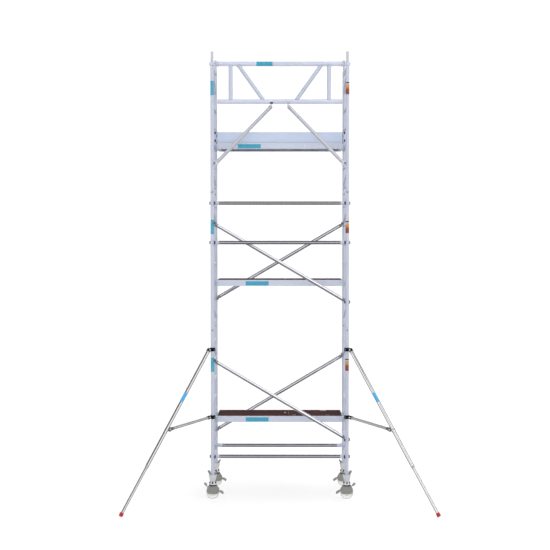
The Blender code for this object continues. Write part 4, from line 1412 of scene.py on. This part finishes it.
def clamp_band(piece, z):
    """Two half bands bolted round the post, and the knuckle that the tube pivots on."""
    for first in (4, 184):
        outline = sector(POST_RADIUS + 0.0008, 0.0370, first, first + 172, 24)
        piece.add(plate(outline, z - 0.025, z + 0.025, "Z", 0.0020), "black")
    for height in (-0.0185, 0.0185):
        ring = arc((0.0, 0.0), 0.0372, 0, 354, 59)
        path = [(x, y, z + height) for x, y in ring]
        piece.add(wire(path, 0.0024, 8, looped=True), "black")
    for side in (-1, 1):
        ear = softened([(-0.009, 0.034), (-0.007, 0.052), (0.007, 0.052), (0.009, 0.034)], 0.003)
        shell = plate([(u, side * v) for u, v in ear], z - 0.017, z + 0.017, "Z", 0.0015)
        piece.add(shell, "black")
        for turn in (-1, 1):
            spot = aimed((turn * 0.0078, side * 0.0445, z), (turn, 0, 0))
            piece.add_all(bolt_head(0.0070, 0.0065), "zinc", spot)
    tip = arc((STABILISER_PIVOT_R, z), 0.0225, 90, -90, 14)
    outline = [(0.0340, z - 0.0225), (0.0340, z + 0.0225)] + tip
    piece.add(plate(outline, -0.0090, 0.0090, "Y", 0.0020), "black")


def knuckle_bolt(piece, place, width):
    """Round-headed pivot bolt through a knuckle, with its nut on the far side."""
    head = [(0.0125, 0.0), (0.0125, 0.0030), (0.0110, 0.0055), (0.0060, 0.0070)]
    for side in (-1, 1):
        spot = place + Vector((0, side * width, 0))
        piece.add(turned(head, 32), "nut", aimed(spot, (0, side, 0)))


def end_fitting(piece, start, along, radius):
    """Forked end that a tube is pressed into: two cheeks beside the knuckle and a socket."""
    turn = aimed(start, along)
    socket = [
        (radius - 0.005, 0.026), (radius + 0.0004, 0.029), (radius + 0.0010, 0.034),
        (radius + 0.0010, 0.050), (radius - 0.0010, 0.052),
    ]
    piece.add(turned(socket, 40), "cast", turn)
    cheek = arc((0.0, 0.0), 0.0235, 200, 340, 14) + [(0.0235, 0.034), (-0.0235, 0.034)]
    for side in (-1, 1):
        faces = sorted((side * 0.0096, side * 0.0190))
        piece.add(plate(cheek, *faces, "Y", 0.0020), "black", start_frame(start, along))


def start_frame(start, along):
    """Frame at a tube's end: Z runs along the tube, and Y stays level, across the knuckle."""
    z_axis = Vector(along).normalized()
    y_axis = Vector((0, 1, 0))
    x_axis = y_axis.cross(z_axis)
    turn = Matrix((x_axis, y_axis, z_axis)).transposed().to_4x4()
    return Matrix.Translation(Vector(start)) @ turn


def stabiliser_tube(pivot, along):
    """Outer tube with its forked end, pivot bolt, end collar and snap button."""
    piece = Piece()
    end = pivot + along * STABILISER_TUBE_LENGTH
    piece.add(pipe(pivot + along * 0.030, end, BRACE_RADIUS, STABILISER_BORE, 48), "stabiliser")
    end_fitting(piece, pivot, along, BRACE_RADIUS)
    knuckle_bolt(piece, pivot, 0.0188)
    collar = [
        (0.0205, -0.020), (0.0256, -0.020), (0.0262, -0.017), (0.0262, -0.002), (0.0250, 0.002),
        (0.0205, 0.002),
    ]
    piece.add(turned(collar, 44, looped=True), "cast", aimed(end, along))
    across_tube = start_frame(end, along)
    button = turned([(0.0055, 0.0), (0.0055, 0.0060), (0.0040, 0.0085), (0.0015, 0.0090)], 20)
    up = across_tube.to_3x3() @ Vector((-1, 0, 0))
    snap = pivot + along * SNAP_BUTTON + up * (BRACE_RADIUS - 0.001)
    piece.add(button, "zinc", aimed(snap, up))
    return piece.ready("stabiliser_tube")


def stabiliser_inner_tube(pivot, along, foot):
    """Inner tube with its row of locking holes, each a shallow socket whose blackened floor is painted
    shade for the tube's inside.
    """
    piece = Piece()
    start = pivot + along * INNER_TUBE_START
    piece.add(pipe(start, foot - along * 0.002, INNER_TUBE_RADIUS, INNER_TUBE_BORE, 40), "stabiliser")
    up = start_frame(foot, along).to_3x3() @ Vector((-1, 0, 0))
    # Each hole is a shallow socket with a blackened floor: painted shade standing for the dark inside of
    # the tube.
    painted_shade_hole = turned([(0.0055, -0.0030), (0.0055, 0.0004), (0.0046, 0.0006), (0.0042, -0.0014)], 20)
    for step in range(6):
        spot = foot - along * (0.110 + 0.100 * step) + up * INNER_TUBE_RADIUS
        piece.add(painted_shade_hole, "dark", aimed(spot, up))
    return piece.ready("stabiliser_inner_tube")


def stabiliser_foot(foot, along):
    """Ribbed rubber cap on the inner tube's end, standing on its lower edge."""
    piece = Piece()
    reach = (foot.z / abs(along.z)) - FOOT_RADIUS * math.hypot(along.x, along.y) / abs(along.z)
    profile = [(0.0200, -0.032), (0.0245, -0.031), (0.0262, -0.028)]
    for step in range(3):
        start = -0.025 + 0.013 * step
        profile += [(FOOT_RADIUS, start), (FOOT_RADIUS, start + 0.008)]
        profile += [(FOOT_RADIUS - 0.0016, start + 0.0095), (FOOT_RADIUS - 0.0016, start + 0.0115)]
    profile += [(FOOT_RADIUS, reach - 0.004), (FOOT_RADIUS, reach - 0.001), (FOOT_RADIUS - 0.001, reach)]
    piece.add(turned(profile, 48), "rubber", aimed(foot, along))
    return piece.ready("stabiliser_foot")


def stabiliser_strut(pivot, along, clamp_z):
    """Lower clamp, strut and the bolted saddle round the outer tube."""
    piece = Piece()
    low = Vector((STABILISER_PIVOT_R, 0.0, clamp_z))
    join = pivot + along * STABILISER_SADDLE
    run = (join - low).normalized()
    clamp_band(piece, clamp_z)
    knuckle_bolt(piece, low, 0.0188)
    end_fitting(piece, low, run, STRUT_RADIUS)
    knuckle = join - run * KNUCKLE_DISTANCE
    stop = knuckle - run * 0.020
    piece.add(bar(low + run * 0.034, stop, circle(STRUT_RADIUS, 44)), "strut")
    saddle = mirrored([(BRACE_RADIUS + 0.0006, -0.020), (0.0270, -0.020), (0.0275, -0.018)])
    piece.add(turned(saddle, 44, looped=True), "stabiliser", aimed(join, along))
    lug = rounded(-0.012, 0.012, 0.0, 0.034, 0.003)
    lug_place = start_frame(join - run * (KNUCKLE_DISTANCE - 0.008), run)
    piece.add(plate(lug, -0.0110, 0.0110, "Y", 0.0020), "strut_end", lug_place)
    boss = mirrored([(0.0280, -0.0160), (0.0300, -0.0140)])
    piece.add(turned(boss, 40), "strut_end", aimed(knuckle, (0, 1, 0)))
    knuckle_bolt(piece, knuckle, 0.0158)
    neck = turned(collar_rings(0.0, STRUT_RADIUS + 0.0012, 0.036), 40)
    piece.add(neck, "strut_end", aimed(knuckle - run * 0.020, -run))
    return piece.ready("stabiliser_strut")


def stabiliser_clamp(z):
    piece = Piece()
    clamp_band(piece, z)
    return piece.ready("stabiliser_clamp")


def build_stabilisers(across, deep):
    foot_node = middle("stabiliser_foot_right")
    post = Vector((across["right"], deep["front"], 0))
    away = foot_node - post
    reach = math.hypot(away.x, away.y)
    angle = math.atan2(-away.y, away.x)
    clamp_low, clamp_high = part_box("stabiliser_clamp_right")
    upper = (clamp_low.z + clamp_high.z) / 2
    strut_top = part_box("stabiliser_strut_right")[1].z
    lower = strut_top - (clamp_high.z - clamp_low.z) / 2
    pivot = Vector((STABILISER_PIVOT_R, 0, upper))
    foot = Vector((reach, 0, FOOT_CENTRE_Z))
    along = (foot - pivot).normalized()
    tube_metal = drawn_metal("stabiliser_tube", (0.86, 0.86, 0.87), 1.0, 0.10, along, 0.04)
    finishes["stabiliser"] = tube_metal
    run = pivot + along * STABILISER_SADDLE - Vector((STABILISER_PIVOT_R, 0, lower))
    finishes["strut"] = drawn_metal("strut_tube", (0.74, 0.74, 0.75), 0.75, 0.16, run, 0.05)
    finishes["strut_end"] = cast_metal("strut_casting", (0.12, 0.12, 0.12), 0.6, 0.42)
    inner_tube = stabiliser_inner_tube(pivot, along, foot)
    meshes = {
        "stabiliser_clamp": (stabiliser_clamp(upper), "stabiliser", "black_clamp"),
        "stabiliser_tube": (stabiliser_tube(pivot, along), "stabiliser", "aluminium_tube"),
        "stabiliser_strut": (stabiliser_strut(pivot, along, lower), "stabiliser", "aluminium_tube"),
        "stabiliser_inner_tube": (inner_tube, "stabiliser_leg", "aluminium_tube"),
        "stabiliser_foot": (stabiliser_foot(foot, along), "stabiliser_leg", "red_rubber"),
    }
    middle_of_band = pivot + along * STABILISER_BAND
    for side, turn in (("left", math.pi + angle), ("right", -angle)):
        place = moved(across[side], deep["front"], 0) @ spun(turn)
        for node, (mesh, body, slot) in meshes.items():
            name = node.replace("stabiliser", "outrigger")
            stand(f"{name}_{side}", mesh, f"{body}_{side}", [f"{node}_{side}"], place)
        sleeve = Piece()
        ring = pipe((0, 0, -0.075), (0, 0, 0.075), BRACE_RADIUS + 0.0006, BRACE_RADIUS - 0.0008, 48)
        sleeve.add(ring, "sky")
        spot = place @ aimed(middle_of_band, along)
        mesh = sleeve.ready("tube_band")
        body = f"stabiliser_{side}"
        stand(f"outrigger_band_{side}", mesh, body, (), spot)


# ---------------------------------------------------------------- plain colour bands


def post_band(piece, low, high, finish):
    """Vinyl over the front half of a post."""
    outline = sector(POST_RADIUS - 0.0012, POST_RADIUS + 0.0007, -178, -2, 30)
    piece.add(plate(outline, low, high, "Z", 0.0003), finish)


def build_bands(across, deep):
    """Bands on the front posts, on the platforms' front beams and on the panel's top rail."""
    for storey in STOREYS:
        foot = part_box(f"frame_left_{storey}")[0].z
        for side, _ in SIDES:
            piece = Piece()
            if side == "left":
                post_band(piece, 0.028, 0.231, "aqua")
                post_band(piece, -0.360, 0.024, "pale")
            else:
                post_band(piece, 0.196, 0.212, "dark")
                post_band(piece, 0.040, 0.180, "warm")
                post_band(piece, 0.008, 0.036, "pale")
            spot = moved(across[side], deep["front"], foot + POST_BAND_HEIGHT)
            name = f"post_band_{side}_{storey}"
            stand(name, piece.ready(name), "tower", (), spot)
        deck_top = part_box(f"deck_{storey}")[1].z
        beam_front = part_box(f"platform_frame_{storey}")[0].y
        shift = -0.11 if storey == "top" else 0.0
        piece = Piece()
        patches = [(-0.490, -0.162, "blue"), (-0.160, 0.450, "pale")]
        if storey == "top":
            patches.append((0.650, 0.960, "pale"))
        for start, end, finish in patches:
            outline = rounded(start + shift, end + shift, -0.080, -0.019, 0.002)
            piece.add(plate(outline, -0.0007, 0.0016, "Y", 0.0003), finish)
        spot = moved(0, beam_front, deck_top)
        name = f"platform_band_{storey}"
        stand(name, piece.ready(name), "tower", (), spot)
    piece = Piece()
    outline = sector(PANEL_RADIUS - 0.0010, PANEL_RADIUS + 0.0006, 115, 245, 26)
    for start, end, finish in ((-0.330, -0.102, "blue"), (-0.100, 0.330, "pale")):
        piece.add(plate(outline, start, end, "X", 0.0003), finish)
    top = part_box("guardrail_panel")[1].z - PANEL_RADIUS
    spot = moved(0, deep["front"], top)
    stand("panel_band", piece.ready("panel_band"), "tower", (), spot)


# ---------------------------------------------------------------- stage, light and camera


def build_stage():
    """Pale floor that reaches the horizon."""
    mesh = bpy.data.meshes.new("floor")
    edge = FLOOR_REACH
    corners = [(-edge, -edge, 0), (edge, -edge, 0), (edge, edge, 0), (-edge, edge, 0)]
    mesh.from_pydata(corners, [], [(0, 1, 2, 3)])
    floor = bpy.data.objects.new("floor", mesh)
    floor.location.z = -FLOOR_DROP
    bpy.context.scene.collection.objects.link(floor)
    shader = Shader("pale_floor", (0.93, 0.93, 0.93), 0.0, 0.9)
    shader.paint(shader.mix(shader.noise(0.6, 3.0), (0.92, 0.92, 0.92), (0.94, 0.94, 0.94)))
    mesh.materials.append(shader.material)
    floor.visible_glossy = False


def build_world():
    """Studio surround: bright walls that reach highest on the right, dim floor and ceiling."""
    world = bpy.data.worlds.new("studio")
    bpy.context.scene.world = world
    world.use_nodes = True
    tree = world.node_tree

    def graded(value, steps):
        ramp = add_node(tree, "ShaderNodeValToRGB", {"Fac": value})
        elements = ramp.color_ramp.elements
        elements.remove(elements[0])
        elements[0].position = steps[0][0]
        for place, _ in steps[1:]:
            elements.new(place)
        for element, (_, level) in zip(elements, steps):
            element.color = (level, level, level, 1.0)
        return ramp.outputs["Color"]

    def combined(operation, first, second):
        inputs = {0: first, 1: second}
        return add_node(tree, "ShaderNodeMath", inputs, operation=operation).outputs[0]

    direction = tree.nodes.new("ShaderNodeTexCoord").outputs["Generated"]
    parts = add_node(tree, "ShaderNodeSeparateXYZ", {"Vector": direction})
    height = map_range(tree, parts.outputs["Z"], -1.0, 1.0, 0.0, 1.0)
    across = map_range(tree, parts.outputs["X"], -1.0, 1.0, 0.0, 1.0)
    walls = graded(height, SURROUND)
    above = combined("SUBTRACT", height, graded(across, WALL_TOP))
    level = combined("MULTIPLY", walls, map_range(tree, above, 0.0, 0.05, 1.0, 0.12))
    tree.links.new(level, tree.nodes["Background"].inputs["Color"])


def add_softbox(name, place, size, power, aim):
    lamp = bpy.data.lights.new(name, "AREA")
    lamp.shape = "RECTANGLE"
    lamp.size = size[0]
    lamp.size_y = size[1]
    lamp.energy = power
    box = bpy.data.objects.new(name, lamp)
    box.location = place
    box.rotation_euler = (Vector(aim) - Vector(place)).to_track_quat("-Z", "Y").to_euler()
    box.visible_camera = False
    bpy.context.scene.collection.objects.link(box)


def add_skylight(strength, shades):
    """Broad, even light from overhead that whitens the floor; only the shades block it."""
    lamp = bpy.data.lights.new("skylight", "SUN")
    lamp.energy = strength
    lamp.angle = math.radians(75)
    sky = bpy.data.objects.new("skylight", lamp)
    sky.location.z = 20.0
    blockers = bpy.data.collections.new("skylight_shades")
    for piece in shades:
        blockers.objects.link(piece)
    sky.light_linking.blocker_collection = blockers
    sky.visible_glossy = False
    bpy.context.scene.collection.objects.link(sky)


def build_lights(centre):
    aim = (0, centre.y, centre.z)
    top_platform = [bpy.data.objects["platform_beams_top"], frame["nodes"]["deck_top"]]
    add_skylight(SKYLIGHT_STRENGTH, top_platform)
    for softbox in SOFTBOXES:
        add_softbox(*softbox, aim)


def build_camera(axis_y):
    data = bpy.data.cameras.new("camera")
    data.lens = CAMERA_LENS
    data.sensor_width = 36.0
    data.clip_end = 1000.0
    camera = bpy.data.objects.new("camera", data)
    camera.location = (0.0, axis_y - CAMERA_DISTANCE, CAMERA_HEIGHT)
    camera.rotation_euler = (math.pi / 2 + CAMERA_PITCH, 0.0, CAMERA_YAW)
    bpy.context.scene.collection.objects.link(camera)
    bpy.context.scene.camera = camera


bpy.context.scene.view_settings.view_transform = "Standard"
finishes = make_finishes()
posts_x, posts_y = post_places()
tower_axis_y = (posts_y["front"] + posts_y["rear"]) / 2
build_camera(tower_axis_y)
build_stage()
build_world()
build_frames()
build_braces(posts_x, posts_y)
build_guardrail(posts_x, posts_y)
build_platforms()
build_toe_boards()
build_castors(posts_x, posts_y)
build_stabilisers(posts_x, posts_y)
build_bands(posts_x, posts_y)
build_lights((cad_box[0] + cad_box[1]) / 2)
